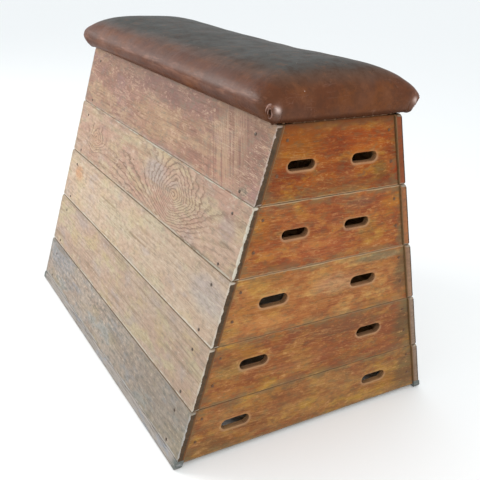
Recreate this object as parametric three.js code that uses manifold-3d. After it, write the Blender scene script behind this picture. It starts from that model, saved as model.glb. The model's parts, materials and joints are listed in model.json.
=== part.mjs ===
// Gymnastics vaulting box: five stacked tiers of planks that lift off one another,
// under a padded leather top. Millimetres, +Z up, +X towards the front end,
// -Y towards the near long side, origin on the floor at the middle of the footprint.

import * as THREE from 'three';
import { mergeVertices } from 'three/addons/utils/BufferGeometryUtils.js';
import Module from 'manifold-3d';

const wasm = await Module();
wasm.setup();

// Whole box
const boxLength = 1385; // a side board, end to end
const baseWidth = 956; // across the long sides at the floor
const frameTopWidth = 412; // across the long sides at the top tier's upper edge
const tierStep = 3; // how far each tier stands inside the one below it, on each long side
const seatGap = 0.3; // between a tier and the one that it rests on
const fitGap = 0.3; // between pieces that are screwed or nailed together

// Heights of the tiers
const baseTierHeight = 188;
const secondTierHeight = 195;
const thirdTierHeight = 197;
const fourthTierHeight = 205;
const topTierHeight = 215;

// Side boards
const sideBoardThickness = 21;
const sideBoardCornerRadius = 11; // corners of the plank's face
const sideBoardEdgeBevel = 1.5; // worn arris along the outer edges

// End boards and their hand slots
const endBoardThickness = 20;
const endBoardRecess = 6; // from the side boards' ends
const endBoardLift = 16; // lower edge of the base tier's end boards above the floor
const baseSlotSpacing = 532; // between the middles of a tier's two slots
const secondSlotSpacing = 429;
const thirdSlotSpacing = 325;
const fourthSlotSpacing = 217;
const topSlotSpacing = 214;
const baseSlotRise = 104; // middle of a slot above the tier's lower edge
const secondSlotRise = 112;
const thirdSlotRise = 108;
const fourthSlotRise = 108;
const topSlotRise = 100;
const lowerSlotLength = 96; // slots of the three lower tiers
const lowerSlotHeight = 34;
const upperSlotLength = 88; // slots of the two upper tiers
const upperSlotHeight = 29;
const slotShift = 12; // the pair of slots sits this far to the left of the middle, seen from outside

// Runners under the base tier's side boards
const runnerHeight = 30;
const runnerProud = 4; // how far a runner stands out past the side board
const runnerOuterRadius = 10; // lower edge on the outside
const runnerInnerRadius = 4; // lower edge on the inside
const runnerEndRadius = 11;

// Corner posts, whose tops locate the tier above
const postWidth = 44; // across the box
const postDepth = 70; // along the box
const tenonRise = 36; // how far a post stands up into the next tier
const tenonClearance = 3; // between a tenon and the boards of the tier above it
const tenonBevel = 9; // lead-in at the tenon's tip
const tenonFootGap = 5; // from a tenon's tip to the foot of the post above it

// Deck under the pad
const deckBoardCount = 3;
const deckThickness = 20;
const deckInset = 5; // deck's edge behind the frame's outer faces
const deckCornerRadius = 60;
const deckBoardGap = 1;
const deckBattenCount = 3;
const deckBattenSpacing = 430;
const deckBattenWidth = 45;
const deckBattenHeight = 28;

// Padded top
const padEndOverhang = 24; // past the frame's ends
const padSideOverhang = 50; // past the frame's long sides
const padCornerRadius = 38;
const padRollHeight = 47; // widest point of the rolled edge above the frame
const padCrownHeight = 78; // top of the pad above its widest point
const padEndSquareness = 13; // exponents of the crown's fall towards the ends and the sides
const padSideSquareness = 3.4;
const padFrontHump = 8; // stuffing pushed towards the ends by use
const padBackHump = 6;
const padMiddleSag = 2;
const padDrawIn = 5; // how far the middle of each side is pulled in between the corners
const humpStartShare = 0.3; // where the rise towards an end starts and is full
const humpFullShare = 0.85;
const rimCornerEase = 20; // the leather's rim turns the deck's corners this much tighter
const leatherThickness = 2.5;
const stuffingGap = 0.4; // between the stuffing and what wraps it or carries it

// How finely round forms are cut into flats
const padLengthSteps = 24;
const padWidthSteps = 10;
const padRollSteps = 4;
const arcSteps = 5;

const tierHeights = [baseTierHeight, secondTierHeight, thirdTierHeight, fourthTierHeight, topTierHeight];
const frameTop = tierHeights.reduce((sum, height) => sum + height, 0);
const stepsTotal = tierStep * (tierHeights.length - 1);
const sideSlope = ((baseWidth - frameTopWidth) / 2 - stepsTotal) / frameTop;
const sideAngle = Math.atan(sideSlope);
const sideBoardReach = sideBoardThickness / Math.cos(sideAngle); // board's thickness on a level cut
const fitReach = fitGap / Math.cos(sideAngle); // gap on a level cut
const deckBase = frameTop + seatGap;

const tierNames = ['base_tier', 'second_tier', 'third_tier', 'fourth_tier', 'top_tier'];
const slotSpacings = [
  baseSlotSpacing,
  secondSlotSpacing,
  thirdSlotSpacing,
  fourthSlotSpacing,
  topSlotSpacing,
];
const slotRises = [baseSlotRise, secondSlotRise, thirdSlotRise, fourthSlotRise, topSlotRise];
const lowerTierCount = 3; // tiers with the larger slots

const tiers = tierNames.map((name, index) => {
  const bottom = tierHeights.slice(0, index).reduce((sum, height) => sum + height, 0);
  return {
    name,
    index,
    bottom,
    height: tierHeights[index],
    isBase: index === 0,
    isTop: index === tierNames.length - 1,
    // half the width across the side boards' outer faces, at the tier's lower edge
    halfWidth: baseWidth / 2 - sideSlope * bottom - tierStep * index,
    slotSpacing: slotSpacings[index],
    slotRise: slotRises[index],
    slotLength: index < lowerTierCount ? lowerSlotLength : upperSlotLength,
    slotHeight: index < lowerTierCount ? lowerSlotHeight : upperSlotHeight,
  };
});

// Finishes
function finish(color, roughness) {
  return new THREE.MeshStandardMaterial({ color, roughness, metalness: 0, flatShading: true });
}
const sideBoardColors = ['#a8a096', '#c4b08e', '#bda583', '#a58763', '#a17c68'];
const endBoardColors = ['#97663a', '#96602f', '#a36a35', '#a05f2b', '#a45620'];
const sideBoardFinishes = sideBoardColors.map((color) => finish(color, 0.8));
const endBoardFinishes = endBoardColors.map((color) => finish(color, 0.55));
const postFinish = finish('#b08d5d', 0.75);
const runnerFinish = finish('#7d7c74', 0.85);
const deckFinish = finish('#b59669', 0.8);
const stuffingFinish = finish('#8b7a5e', 0.95);
const leatherFinish = finish('#5d372a', 0.45);

const group = new THREE.Group();

// A geometry as one closed surface with shared corners
function weld(geometry) {
  geometry.deleteAttribute('normal');
  geometry.deleteAttribute('uv');
  return mergeVertices(geometry);
}

function toSolid(geometry) {
  const welded = weld(geometry);
  const vertProperties = new Float32Array(welded.getAttribute('position').array);
  const triVerts = new Uint32Array(welded.getIndex().array);
  return new wasm.Manifold(new wasm.Mesh({ numProp: 3, vertProperties, triVerts }));
}

function toGeometry(solid) {
  const cut = solid.getMesh();
  const geometry = new THREE.BufferGeometry();
  geometry.setAttribute('position', new THREE.BufferAttribute(new Float32Array(cut.vertProperties), 3));
  geometry.setIndex(new THREE.BufferAttribute(new Uint32Array(cut.triVerts), 1));
  geometry.computeVertexNormals();
  return geometry;
}

function extrude(shape, depth) {
  return new THREE.ExtrudeGeometry(shape, { depth, steps: 1, bevelEnabled: false, curveSegments: arcSteps });
}

const unitX = new THREE.Vector3(1, 0, 0);
const unitY = new THREE.Vector3(0, 1, 0);
const unitZ = new THREE.Vector3(0, 0, 1);

// A shape drawn as (y, z), drawn out along X and centred on x
function prismAlongX(shape, length, x) {
  const geometry = extrude(shape, length);
  geometry.applyMatrix4(new THREE.Matrix4().makeBasis(unitY, unitZ, unitX));
  geometry.translate(x - length / 2, 0, 0);
  return geometry;
}

// A shape drawn as (x, z), drawn out along Y and centred on y
function prismAlongY(shape, width, y) {
  const geometry = extrude(shape, width);
  geometry.applyMatrix4(new THREE.Matrix4().makeBasis(unitX, unitZ, unitY.clone().negate()));
  geometry.translate(0, y + width / 2, 0);
  return geometry;
}

function polygon(points) {
  return new THREE.Shape(points.map(([across, up]) => new THREE.Vector2(across, up)));
}

// A rectangle whose lower and upper corners are rounded
function roundedRectangle(left, right, low, high, lowerRadius, upperRadius) {
  const shape = new THREE.Shape();
  const quarter = Math.PI / 2;
  const corner = (x, y, radius, start) => {
    if (radius > 0) shape.absarc(x, y, radius, start, start + quarter);
  };
  shape.moveTo(left + lowerRadius, low);
  shape.lineTo(right - lowerRadius, low);
  corner(right - lowerRadius, low + lowerRadius, lowerRadius, -quarter);
  shape.lineTo(right, high - upperRadius);
  corner(right - upperRadius, high - upperRadius, upperRadius, 0);
  shape.lineTo(left + upperRadius, high);
  corner(left + upperRadius, high - upperRadius, upperRadius, quarter);
  shape.lineTo(left, low + lowerRadius);
  corner(left + lowerRadius, low + lowerRadius, lowerRadius, 2 * quarter);
  return shape;
}

function addPiece(parent, name, geometry, material, turn = 0) {
  const mesh = new THREE.Mesh(geometry, material);
  mesh.name = name;
  mesh.rotation.z = turn;
  parent.add(mesh);
}

// Heights inside a tier are measured from the tier's own lower edge
function tierFoot(tier) {
  return tier.isBase ? runnerHeight + fitGap : seatGap;
}

// Level distance from the middle plane to a side board's outer face
function outerFace(tier, up) {
  return tier.halfWidth - sideSlope * up;
}

// Level distance from the middle plane to a side board's inner face
function innerFace(tier, up) {
  return outerFace(tier, up) - sideBoardReach;
}

// The near side board: a slanted plank whose long edges are cut level
function sideBoard(tier) {
  const low = tierFoot(tier);
  const high = tier.height;
  const bevel = sideBoardEdgeBevel;
  const section = polygon([
    [-outerFace(tier, low) + bevel, low],
    [-innerFace(tier, low), low],
    [-innerFace(tier, high), high],
    [-outerFace(tier, high) + bevel, high],
    [-outerFace(tier, high - bevel), high - bevel],
    [-outerFace(tier, low + bevel), low + bevel],
  ]);
  const lowerRadius = tier.isBase ? 0 : sideBoardCornerRadius;
  const face = roundedRectangle(-boxLength / 2, boxLength / 2, low, high, lowerRadius, sideBoardCornerRadius);
  const plank = toSolid(prismAlongX(section, boxLength + 2 * bevel, 0));
  const outline = toSolid(prismAlongY(face, baseWidth, 0));
  return toGeometry(plank.intersect(outline));
}

// The front end board, between the side boards, with its two hand slots
function endBoard(tier) {
  const low = tier.isBase ? endBoardLift : seatGap;
  const high = tier.height;
  const board = polygon([
    [-innerFace(tier, low) + fitReach, low],
    [innerFace(tier, low) - fitReach, low],
    [innerFace(tier, high) - fitReach, high],
    [-innerFace(tier, high) + fitReach, high],
  ]);
  const slotRadius = tier.slotHeight / 2;
  const slotHalf = tier.slotLength / 2 - slotRadius;
  for (const side of [-1, 1]) {
    const middle = (side * tier.slotSpacing) / 2 - slotShift;
    const slot = new THREE.Path();
    slot.moveTo(middle - slotHalf, tier.slotRise - slotRadius);
    slot.lineTo(middle + slotHalf, tier.slotRise - slotRadius);
    slot.absarc(middle + slotHalf, tier.slotRise, slotRadius, -Math.PI / 2, Math.PI / 2);
    slot.lineTo(middle - slotHalf, tier.slotRise + slotRadius);
    slot.absarc(middle - slotHalf, tier.slotRise, slotRadius, Math.PI / 2, (3 * Math.PI) / 2);
    board.holes.push(slot);
  }
  const outside = boxLength / 2 - endBoardRecess;
  return weld(prismAlongX(board, endBoardThickness, outside - endBoardThickness / 2));
}

// The near post at one end: it fills the corner and its top is the tenon for the tier above
function cornerPost(tier, endSign) {
  const low = tier.isBase ? endBoardLift : tenonRise + tenonFootGap;
  const shoulder = tier.height;
  const outer = (up) => -innerFace(tier, up) + fitReach;
  const inner = (up) => outer(up) + postWidth;
  const outside = boxLength / 2 - endBoardRecess - endBoardThickness - fitGap;
  const inside = outside - postDepth;
  if (tier.isTop) {
    const section = polygon([
      [outer(low), low],
      [inner(low), low],
      [inner(shoulder), shoulder],
      [outer(shoulder), shoulder],
    ]);
    return weld(prismAlongX(section, postDepth, (endSign * (outside + inside)) / 2));
  }
  const tip = shoulder + tenonRise;
  const leadIn = tip - tenonBevel;
  const sideRelief = tierStep + tenonClearance;
  const tenonOutside = outside - tenonClearance;
  const section = polygon([
    [outer(low), low],
    [inner(low), low],
    [inner(leadIn), leadIn],
    [inner(tip) - tenonBevel, tip],
    [outer(tip) + sideRelief + tenonBevel, tip],
    [outer(leadIn) + sideRelief, leadIn],
    [outer(shoulder) + sideRelief, shoulder],
    [outer(shoulder), shoulder],
  ]);
  const profile = polygon([
    [endSign * inside, low],
    [endSign * outside, low],
    [endSign * outside, shoulder],
    [endSign * tenonOutside, shoulder],
    [endSign * tenonOutside, leadIn],
    [endSign * (tenonOutside - tenonBevel), tip],
    [endSign * (inside + tenonBevel), tip],
    [endSign * inside, leadIn],
  ]);
  const across = toSolid(prismAlongX(section, boxLength, 0));
  const along = toSolid(prismAlongY(profile, baseWidth, 0));
  return toGeometry(across.intersect(along));
}

// The near runner: a rounded strip that the base tier's side board stands on
function runner() {
  const base = tiers[0];
  const outside = (up) => -outerFace(base, up) - runnerProud;
  const inside = (up) => -innerFace(base, up);
  const radius = runnerOuterRadius;
  const section = new THREE.Shape();
  section.moveTo(outside(0) + radius, 0);
  section.lineTo(inside(0) - runnerInnerRadius, 0);
  section.quadraticCurveTo(inside(0), 0, inside(runnerInnerRadius), runnerInnerRadius);
  section.lineTo(inside(runnerHeight), runnerHeight);
  section.lineTo(outside(runnerHeight) + runnerProud, runnerHeight);
  section.lineTo(outside(runnerHeight - runnerProud), runnerHeight - runnerProud);
  section.lineTo(outside(radius), radius);
  section.quadraticCurveTo(outside(0), 0, outside(0) + radius, 0);
  const ends = roundedRectangle(-boxLength / 2, boxLength / 2, 0, runnerHeight, runnerEndRadius, 0);
  const strip = toSolid(prismAlongX(section, boxLength + 2 * radius, 0));
  const outline = toSolid(prismAlongY(ends, 2 * baseWidth, 0));
  return toGeometry(strip.intersect(outline));
}

// Deck
const deckHalfLength = boxLength / 2 - deckInset;
const deckHalfWidth = frameTopWidth / 2 - deckInset;
const deckBoardWidth = (2 * deckHalfWidth - deckBoardGap * (deckBoardCount - 1)) / deckBoardCount;

// The deck's outline seen from above, with the corners rounded for the leather
function deckOutline(grow) {
  const halfLength = deckHalfLength + grow;
  const halfWidth = deckHalfWidth + grow;
  const radius = deckCornerRadius + grow;
  return roundedRectangle(-halfLength, halfLength, -halfWidth, halfWidth, radius, radius);
}

function deckBoard(index) {
  const whole = extrude(deckOutline(0), deckThickness);
  whole.translate(0, 0, deckBase);
  const low = -deckHalfWidth + index * (deckBoardWidth + deckBoardGap);
  const strip = new THREE.BoxGeometry(boxLength, deckBoardWidth, 2 * deckThickness);
  strip.translate(0, low + deckBoardWidth / 2, deckBase + deckThickness);
  return toGeometry(toSolid(whole).intersect(toSolid(strip)));
}

// A batten across the box, under the deck and between the top tier's side boards
function deckBatten(x) {
  const top = tiers[tiers.length - 1];
  const high = top.height;
  const low = high - deckBattenHeight;
  const section = polygon([
    [-innerFace(top, low) + fitReach, low],
    [innerFace(top, low) - fitReach, low],
    [innerFace(top, high) - fitReach, high],
    [-innerFace(top, high) + fitReach, high],
  ]);
  return weld(prismAlongX(section, deckBattenWidth, x));
}

// Pad: height of its surface above the widest point, at a place given as shares of the half sizes
function crownAt(alongShare, acrossShare, crown) {
  const endFall = 1 - Math.abs(alongShare) ** padEndSquareness;
  const sideFall = 1 - Math.abs(acrossShare) ** padSideSquareness;
  const front = THREE.MathUtils.smoothstep(alongShare, humpStartShare, humpFullShare);
  const back = THREE.MathUtils.smoothstep(-alongShare, humpStartShare, humpFullShare);
  const sag = (1 - alongShare ** 2) ** 2;
  const lift = padFrontHump * front + padBackHump * back - padMiddleSag * sag;
  return (crown + lift) * Math.sqrt(Math.max(endFall * sideFall, 0));
}
const padHalfLength = boxLength / 2 + padEndOverhang;
const padHalfWidth = frameTopWidth / 2 + padSideOverhang;
const padWidest = frameTop + padRollHeight;

// Point of a rounded rectangle's plan for a place in the square from -1 to 1 both ways
function padPlan(u, v, halfLength, halfWidth, radius, drawIn) {
  const reach = Math.max(Math.abs(u), Math.abs(v));
  if (reach === 0) return [0, 0];
  // the same direction, out on the square's border
  const borderU = u / reach;
  const borderV = v / reach;
  let x = borderU * halfLength;
  let y = borderV * halfWidth;
  const overX = Math.abs(x) - (halfLength - radius);
  const overY = Math.abs(y) - (halfWidth - radius);
  if (overX > 0 && overY > 0) {
    const angle = Math.atan2(overY, overX);
    x = Math.sign(x) * (halfLength - radius + radius * Math.cos(angle));
    y = Math.sign(y) * (halfWidth - radius + radius * Math.sin(angle));
  }
  // each side is pulled in between its corners
  if (Math.abs(borderU) === 1) x -= borderU * drawIn * (1 - borderV ** 2);
  if (Math.abs(borderV) === 1) y -= borderV * drawIn * (1 - borderU ** 2);
  return [x * reach, y * reach];
}

// Steps from -1 to 1 that are closer together towards both ends
function gradedSteps(count) {
  return Array.from({ length: count + 1 }, (_, step) => Math.sin((step / count - 0.5) * Math.PI));
}

// The border of a grid, once round against the clock seen from above
function borderOf(grid) {
  const last = grid.length - 1;
  const side = grid[0].length - 1;
  const border = [];
  for (let step = 0; step < last; step += 1) border.push(grid[step][0]);
  for (let step = 0; step < side; step += 1) border.push(grid[last][step]);
  for (let step = last; step > 0; step -= 1) border.push(grid[step][side]);
  for (let step = side; step > 0; step -= 1) border.push(grid[0][step]);
  return border;
}

// The pad's surface, set in by a thickness: the crown as a grid, then rings down round the roll
// to the rim, which lies along the deck's edge at a height of its own
const rimHalfLength = deckHalfLength + fitGap;
const rimHalfWidth = deckHalfWidth + fitGap;
const rimCornerRadius = deckCornerRadius - rimCornerEase;

function padSurface(inset, rimHeight) {
  const us = gradedSteps(padLengthSteps);
  const vs = gradedSteps(padWidthSteps);
  const crown = padCrownHeight - inset;
  const grid = us.map((u) => vs.map((v) => {
    const [x, y] = padPlan(u, v, padHalfLength - inset, padHalfWidth - inset, padCornerRadius, padDrawIn);
    return new THREE.Vector3(x, y, padWidest + crownAt(u, v, crown));
  }));
  const rimGrid = us.map((u) => vs.map((v) => {
    const [x, y] = padPlan(u, v, rimHalfLength, rimHalfWidth, rimCornerRadius, 0);
    return new THREE.Vector3(x, y, rimHeight);
  }));
  const widest = borderOf(grid);
  const rim = borderOf(rimGrid);
  const rings = [widest];
  for (let step = 1; step <= padRollSteps; step += 1) {
    const angle = (step / padRollSteps) * (Math.PI / 2);
    const z = padWidest - (padWidest - rimHeight) * Math.sin(angle);
    rings.push(widest.map((point, place) => {
      const level = new THREE.Vector3().lerpVectors(point, rim[place], 1 - Math.cos(angle));
      return level.setZ(z);
    }));
  }
  return { grid, rings };
}

// Gathers triangles and turns them into a closed geometry
class Skin {
  constructor() {
    this.positions = [];
  }

  quad(a, b, c, d, flip) {
    const corners = flip ? [a, c, b, a, d, c] : [a, b, c, a, c, d];
    for (const corner of corners) this.positions.push(corner.x, corner.y, corner.z);
  }

  addSurface({ grid, rings }, flip) {
    for (let row = 0; row + 1 < grid.length; row += 1) {
      for (let column = 0; column + 1 < grid[row].length; column += 1) {
        const a = grid[row][column];
        const b = grid[row + 1][column];
        const c = grid[row + 1][column + 1];
        const d = grid[row][column + 1];
        this.quad(a, b, c, d, flip);
      }
    }
    for (let ring = 0; ring + 1 < rings.length; ring += 1) this.addBand(rings[ring], rings[ring + 1], flip);
  }

  // the band between two rings, facing out when the second lies below the first
  addBand(upper, lower, flip) {
    for (let step = 0; step < upper.length; step += 1) {
      const next = (step + 1) % upper.length;
      this.quad(upper[step], lower[step], lower[next], upper[next], flip);
    }
  }

  geometry() {
    const geometry = new THREE.BufferGeometry();
    geometry.setAttribute('position', new THREE.Float32BufferAttribute(this.positions, 3));
    const welded = mergeVertices(geometry);
    welded.computeVertexNormals();
    return welded;
  }
}

// The leather: one skin over the stuffing, rolled under to the deck's lower edge
function padCover() {
  const outside = padSurface(0, deckBase);
  const inside = padSurface(leatherThickness, deckBase + leatherThickness);
  const skin = new Skin();
  skin.addSurface(outside, false);
  skin.addSurface(inside, true);
  skin.addBand(outside.rings[outside.rings.length - 1], inside.rings[inside.rings.length - 1], false);
  return skin.geometry();
}

// The stuffing: it fills the leather and lies over the deck and down its edges
function padStuffing() {
  const inset = leatherThickness + stuffingGap;
  const surface = padSurface(inset, deckBase + inset);
  const rim = surface.rings[surface.rings.length - 1];
  const centre = new THREE.Vector3(0, 0, deckBase + inset);
  const skin = new Skin();
  skin.addSurface(surface, false);
  for (let step = 0; step < rim.length; step += 1) {
    const next = (step + 1) % rim.length;
    for (const corner of [rim[next], rim[step], centre]) skin.positions.push(corner.x, corner.y, corner.z);
  }
  const deck = extrude(deckOutline(stuffingGap), deckThickness + stuffingGap);
  deck.translate(0, 0, deckBase);
  return toGeometry(toSolid(skin.geometry()).subtract(toSolid(deck)));
}

// Assembly
for (const tier of tiers) {
  const stage = new THREE.Group();
  stage.position.z = tier.bottom;
  const half = Math.PI;
  addPiece(stage, `${tier.name}_near_side_board`, sideBoard(tier), sideBoardFinishes[tier.index]);
  addPiece(stage, `${tier.name}_far_side_board`, sideBoard(tier), sideBoardFinishes[tier.index], half);
  addPiece(stage, `${tier.name}_front_end_board`, endBoard(tier), endBoardFinishes[tier.index]);
  addPiece(stage, `${tier.name}_back_end_board`, endBoard(tier), endBoardFinishes[tier.index], half);
  addPiece(stage, `${tier.name}_near_front_post`, cornerPost(tier, 1), postFinish);
  addPiece(stage, `${tier.name}_near_back_post`, cornerPost(tier, -1), postFinish);
  addPiece(stage, `${tier.name}_far_back_post`, cornerPost(tier, 1), postFinish, half);
  addPiece(stage, `${tier.name}_far_front_post`, cornerPost(tier, -1), postFinish, half);
  if (tier.isBase) {
    addPiece(stage, 'near_runner', runner(), runnerFinish);
    addPiece(stage, 'far_runner', runner(), runnerFinish, half);
  }
  if (tier.isTop) {
    for (let index = 0; index < deckBattenCount; index += 1) {
      const x = (index - (deckBattenCount - 1) / 2) * deckBattenSpacing;
      addPiece(stage, `deck_batten_${index + 1}`, deckBatten(x), deckFinish);
    }
  }
  group.add(stage);
}
for (let index = 0; index < deckBoardCount; index += 1) {
  addPiece(group, `deck_board_${index + 1}`, deckBoard(index), deckFinish);
}
addPiece(group, 'pad_stuffing', padStuffing(), stuffingFinish);
addPiece(group, 'pad_cover', padCover(), leatherFinish);

export default group;
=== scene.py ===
# %% [markdown]
# # A vaulting box in worn wood and leather
#
# The real box is five wooden frames that stand on one another, with a padded leather lid. Its
# construction is already there: every plank, post and batten arrives as a solid at its real size. This
# script gives that construction its looks, the way a prop maker would: planks get rounded edges and
# hand slots worn smooth, the leather is swollen over its stuffing and folded in at the corners, screws
# and tacks go in last, and each surface gets a finish mixed from patterns.
#
# The frame comes first. Nothing that it holds is moved, because the planks have to stay where the
# joints and the floor expect them. The size of the whole box is kept, to compare it with at the end.

import json
import math

import bmesh
import bpy
import numpy as np
from mathutils import Matrix, Vector


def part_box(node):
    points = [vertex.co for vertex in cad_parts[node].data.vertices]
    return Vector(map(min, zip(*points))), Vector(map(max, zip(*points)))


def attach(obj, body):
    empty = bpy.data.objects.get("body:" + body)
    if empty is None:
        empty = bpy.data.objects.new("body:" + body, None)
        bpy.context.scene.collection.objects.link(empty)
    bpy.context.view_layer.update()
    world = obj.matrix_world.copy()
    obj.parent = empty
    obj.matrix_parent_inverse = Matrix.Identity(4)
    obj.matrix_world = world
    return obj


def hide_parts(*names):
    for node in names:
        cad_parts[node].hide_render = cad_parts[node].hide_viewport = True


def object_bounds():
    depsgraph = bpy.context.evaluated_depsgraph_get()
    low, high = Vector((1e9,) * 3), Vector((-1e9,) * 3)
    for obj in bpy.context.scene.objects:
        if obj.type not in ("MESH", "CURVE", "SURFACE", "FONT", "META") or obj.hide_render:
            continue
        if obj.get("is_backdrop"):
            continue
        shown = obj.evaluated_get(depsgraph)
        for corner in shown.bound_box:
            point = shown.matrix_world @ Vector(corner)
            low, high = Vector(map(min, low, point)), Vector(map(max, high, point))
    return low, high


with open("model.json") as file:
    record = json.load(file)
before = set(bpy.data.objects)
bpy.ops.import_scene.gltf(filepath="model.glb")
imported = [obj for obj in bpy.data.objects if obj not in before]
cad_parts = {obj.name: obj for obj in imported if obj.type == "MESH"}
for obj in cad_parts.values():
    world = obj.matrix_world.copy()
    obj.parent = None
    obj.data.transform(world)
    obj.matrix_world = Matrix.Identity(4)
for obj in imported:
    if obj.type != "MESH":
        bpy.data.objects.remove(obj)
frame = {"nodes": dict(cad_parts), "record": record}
frame_low, frame_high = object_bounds()
bpy.ops.object.select_all(action="DESELECT")
millimetre = 0.001
print("frame loaded:", len(frame["nodes"]), "solids, size", [round(v, 3) for v in frame_high - frame_low])

# %% [markdown]
# ## Camera
#
# The picture was taken from a little above the top, looking down at the front end and the near long
# side. The place, the turn and the lens come from matching the corners of the tiers, so that a line on
# the real box and the same line here fall on the same spot of a square picture. A camera could also be
# aimed at the box by eye, but small errors in the lens then show in every slanted edge.

# %% Camera
camera_data = bpy.data.cameras.new("camera")
camera_data.sensor_width = 36
camera_data.lens = 50.98
camera = bpy.data.objects.new("camera", camera_data)
camera.location = (2.0922, -1.1470, 1.4051)
camera.rotation_euler = [math.radians(turn) for turn in (66.718, -2.911, 60.086)]
bpy.context.scene.collection.objects.link(camera)
bpy.context.scene.camera = camera
print("camera at", tuple(round(v, 3) for v in camera.location), "lens", camera_data.lens, "mm")

# %% [markdown]
# ## Floor and light
#
# The box stands in soft daylight on something nearly white, and its long side is brighter than its end.
# A pale floor and a pale sky give most of it. One wide lamp stands off the long side, towards the back,
# and a weaker one high in front of the end, so that the end stays a little darker and the overhang of
# the pad leaves a shadow on it. Wide lamps are used and no sun, because the picture has no sharp shadow.

# %% Floor and light
bpy.ops.mesh.primitive_plane_add(size=80, location=(0, 0, 0))
floor = bpy.context.active_object
floor.name = "floor"
floor_finish = bpy.data.materials.new("pale_floor")
floor_finish.use_nodes = True
floor_shader = floor_finish.node_tree.nodes["Principled BSDF"]
floor_shader.inputs["Base Color"].default_value = (0.92, 0.92, 0.91, 1)
floor_shader.inputs["Roughness"].default_value = 0.9
floor.data.materials.append(floor_finish)
floor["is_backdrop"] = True

world = bpy.data.worlds.new("soft_sky")
world.use_nodes = True
sky = world.node_tree.nodes["Background"]
sky.inputs["Color"].default_value = (0.93, 0.97, 1.0, 1)
sky.inputs["Strength"].default_value = 1.03
bpy.context.scene.world = world
bpy.context.scene.view_settings.view_transform = "Standard"


def add_lamp(name, place, aim, size, power, colour):
    """A square lamp at a place, turned towards the point that it lights."""
    data = bpy.data.lights.new(name, "AREA")
    data.size = size
    data.energy = power
    data.color = colour
    lamp = bpy.data.objects.new(name, data)
    lamp.location = place
    lamp.rotation_mode = "QUATERNION"
    lamp.rotation_quaternion = (Vector(aim) - Vector(place)).to_track_quat("-Z", "Y")
    bpy.context.scene.collection.objects.link(lamp)


add_lamp("long_side_lamp", (-3.2, -3.6, 2.8), (0, -0.2, 0.6), 2.2, 130, (1.0, 0.98, 0.95))
add_lamp("end_lamp", (3.3, -0.7, 2.8), (0.6, -0.1, 0.9), 0.9, 42, (1.0, 0.99, 0.97))
print("floor, sky and two lamps are in place")

# %% [markdown]
# ## Working on a piece by hand
#
# Almost every step below starts the same way: nothing is selected, one piece becomes the active one,
# and edit mode is opened. Operators act on all that is selected, so a stray selection is the usual way
# to spoil a neighbour. These helpers open and close a piece, and select its faces or edges by their
# place, which is what a hand with a mouse would do by looking.

# %% Helpers for modelling
merge_distance = 0.01 * millimetre


def pick(*pieces):
    """Select these pieces alone; the first is the active one."""
    bpy.ops.object.select_all(action="DESELECT")
    for piece in pieces:
        piece.select_set(True)
    bpy.context.view_layer.objects.active = pieces[0]


def open_piece(piece, mode="FACE"):
    """Go into edit mode on one piece, with nothing on it selected."""
    pick(piece)
    bpy.ops.object.mode_set(mode="EDIT")
    bpy.ops.mesh.select_mode(type=mode)
    bpy.ops.mesh.select_all(action="DESELECT")


def close_piece():
    bpy.ops.object.mode_set(mode="OBJECT")


def select_where(piece, kind, test):
    """In edit mode, select the faces, edges or verts of a piece that pass a test, and count them."""
    form = bmesh.from_edit_mesh(piece.data)
    chosen = [part for part in getattr(form, kind) if test(part)]
    for part in chosen:
        part.select_set(True)
    form.select_flush_mode()
    bmesh.update_edit_mesh(piece.data)
    return len(chosen)


def copy_of(node, name):
    """A new piece that starts as a copy of a solid of the frame, with its loose triangles merged."""
    mesh = frame["nodes"][node].data.copy()
    mesh.materials.clear()
    piece = bpy.data.objects.new(name, mesh)
    bpy.context.scene.collection.objects.link(piece)
    open_piece(piece, "VERT")
    bpy.ops.mesh.select_all(action="SELECT")
    bpy.ops.mesh.remove_doubles(threshold=merge_distance)
    bpy.ops.mesh.customdata_custom_splitnormals_clear()
    close_piece()
    return piece


def flatten_faces(piece):
    """Join triangles that lie in one plane into whole faces."""
    open_piece(piece)
    bpy.ops.mesh.select_all(action="SELECT")
    bpy.ops.mesh.dissolve_limited(angle_limit=math.radians(0.5))
    close_piece()


def slice_across(piece, axis, places):
    """Cut a piece's skin into bands at these places along an axis. Its shape stays as it is."""
    normal = [0.0, 0.0, 0.0]
    normal[axis] = 1.0
    open_piece(piece)
    for place in places:
        point = [0.0, 0.0, 0.0]
        point[axis] = place
        bpy.ops.mesh.select_all(action="SELECT")
        bpy.ops.mesh.bisect(plane_co=point, plane_no=normal)
    close_piece()


def apply_modifier(piece, name, kind, **settings):
    """Add a modifier, set it, and make its result the piece's own mesh."""
    pick(piece)
    modifier = piece.modifiers.new(name, kind)
    for setting, value in settings.items():
        setattr(modifier, setting, value)
    bpy.ops.object.modifier_apply(modifier=modifier.name)


def faces_in(piece):
    return len(piece.data.polygons)


print("modelling helpers are ready")

# %% [markdown]
# ## Planks with worn edges
#
# A plank of the real box was sawn square, but many years of hands and feet have rounded every edge,
# and its faces are no longer quite flat. Each plank here starts as a copy of its solid. The copy is cut
# into bands along its length, so that there is something to bend, its edges get a small round bevel,
# and a cloud pattern pushes its skin in and out by a fraction of a millimetre. Painting the wear into
# the material alone would be quicker, but a rounded edge catches light along its whole length, and a
# painted one doesn't.
#
# The hand slots get a much larger rounding on the outside, where fingers have gone in for years. Their
# edges are found by place: the frame's record lists a box inside each slot.

# %% Planks
tiers = ["base_tier", "second_tier", "third_tier", "fourth_tier", "top_tier"]
plank_edge_width = 0.9 * millimetre
slot_edge_width = 1.7 * millimetre
slot_inner_edge_width = 1.2 * millimetre
slot_reach = 14 * millimetre  # how far round a slot's box its edges are looked for
band_length = 42 * millimetre
wave_depth = 0.8 * millimetre
wave_length = 90 * millimetre
openings = {opening["name"]: opening["box_m"] for opening in frame["record"]["physics"]["openings"]}

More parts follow.
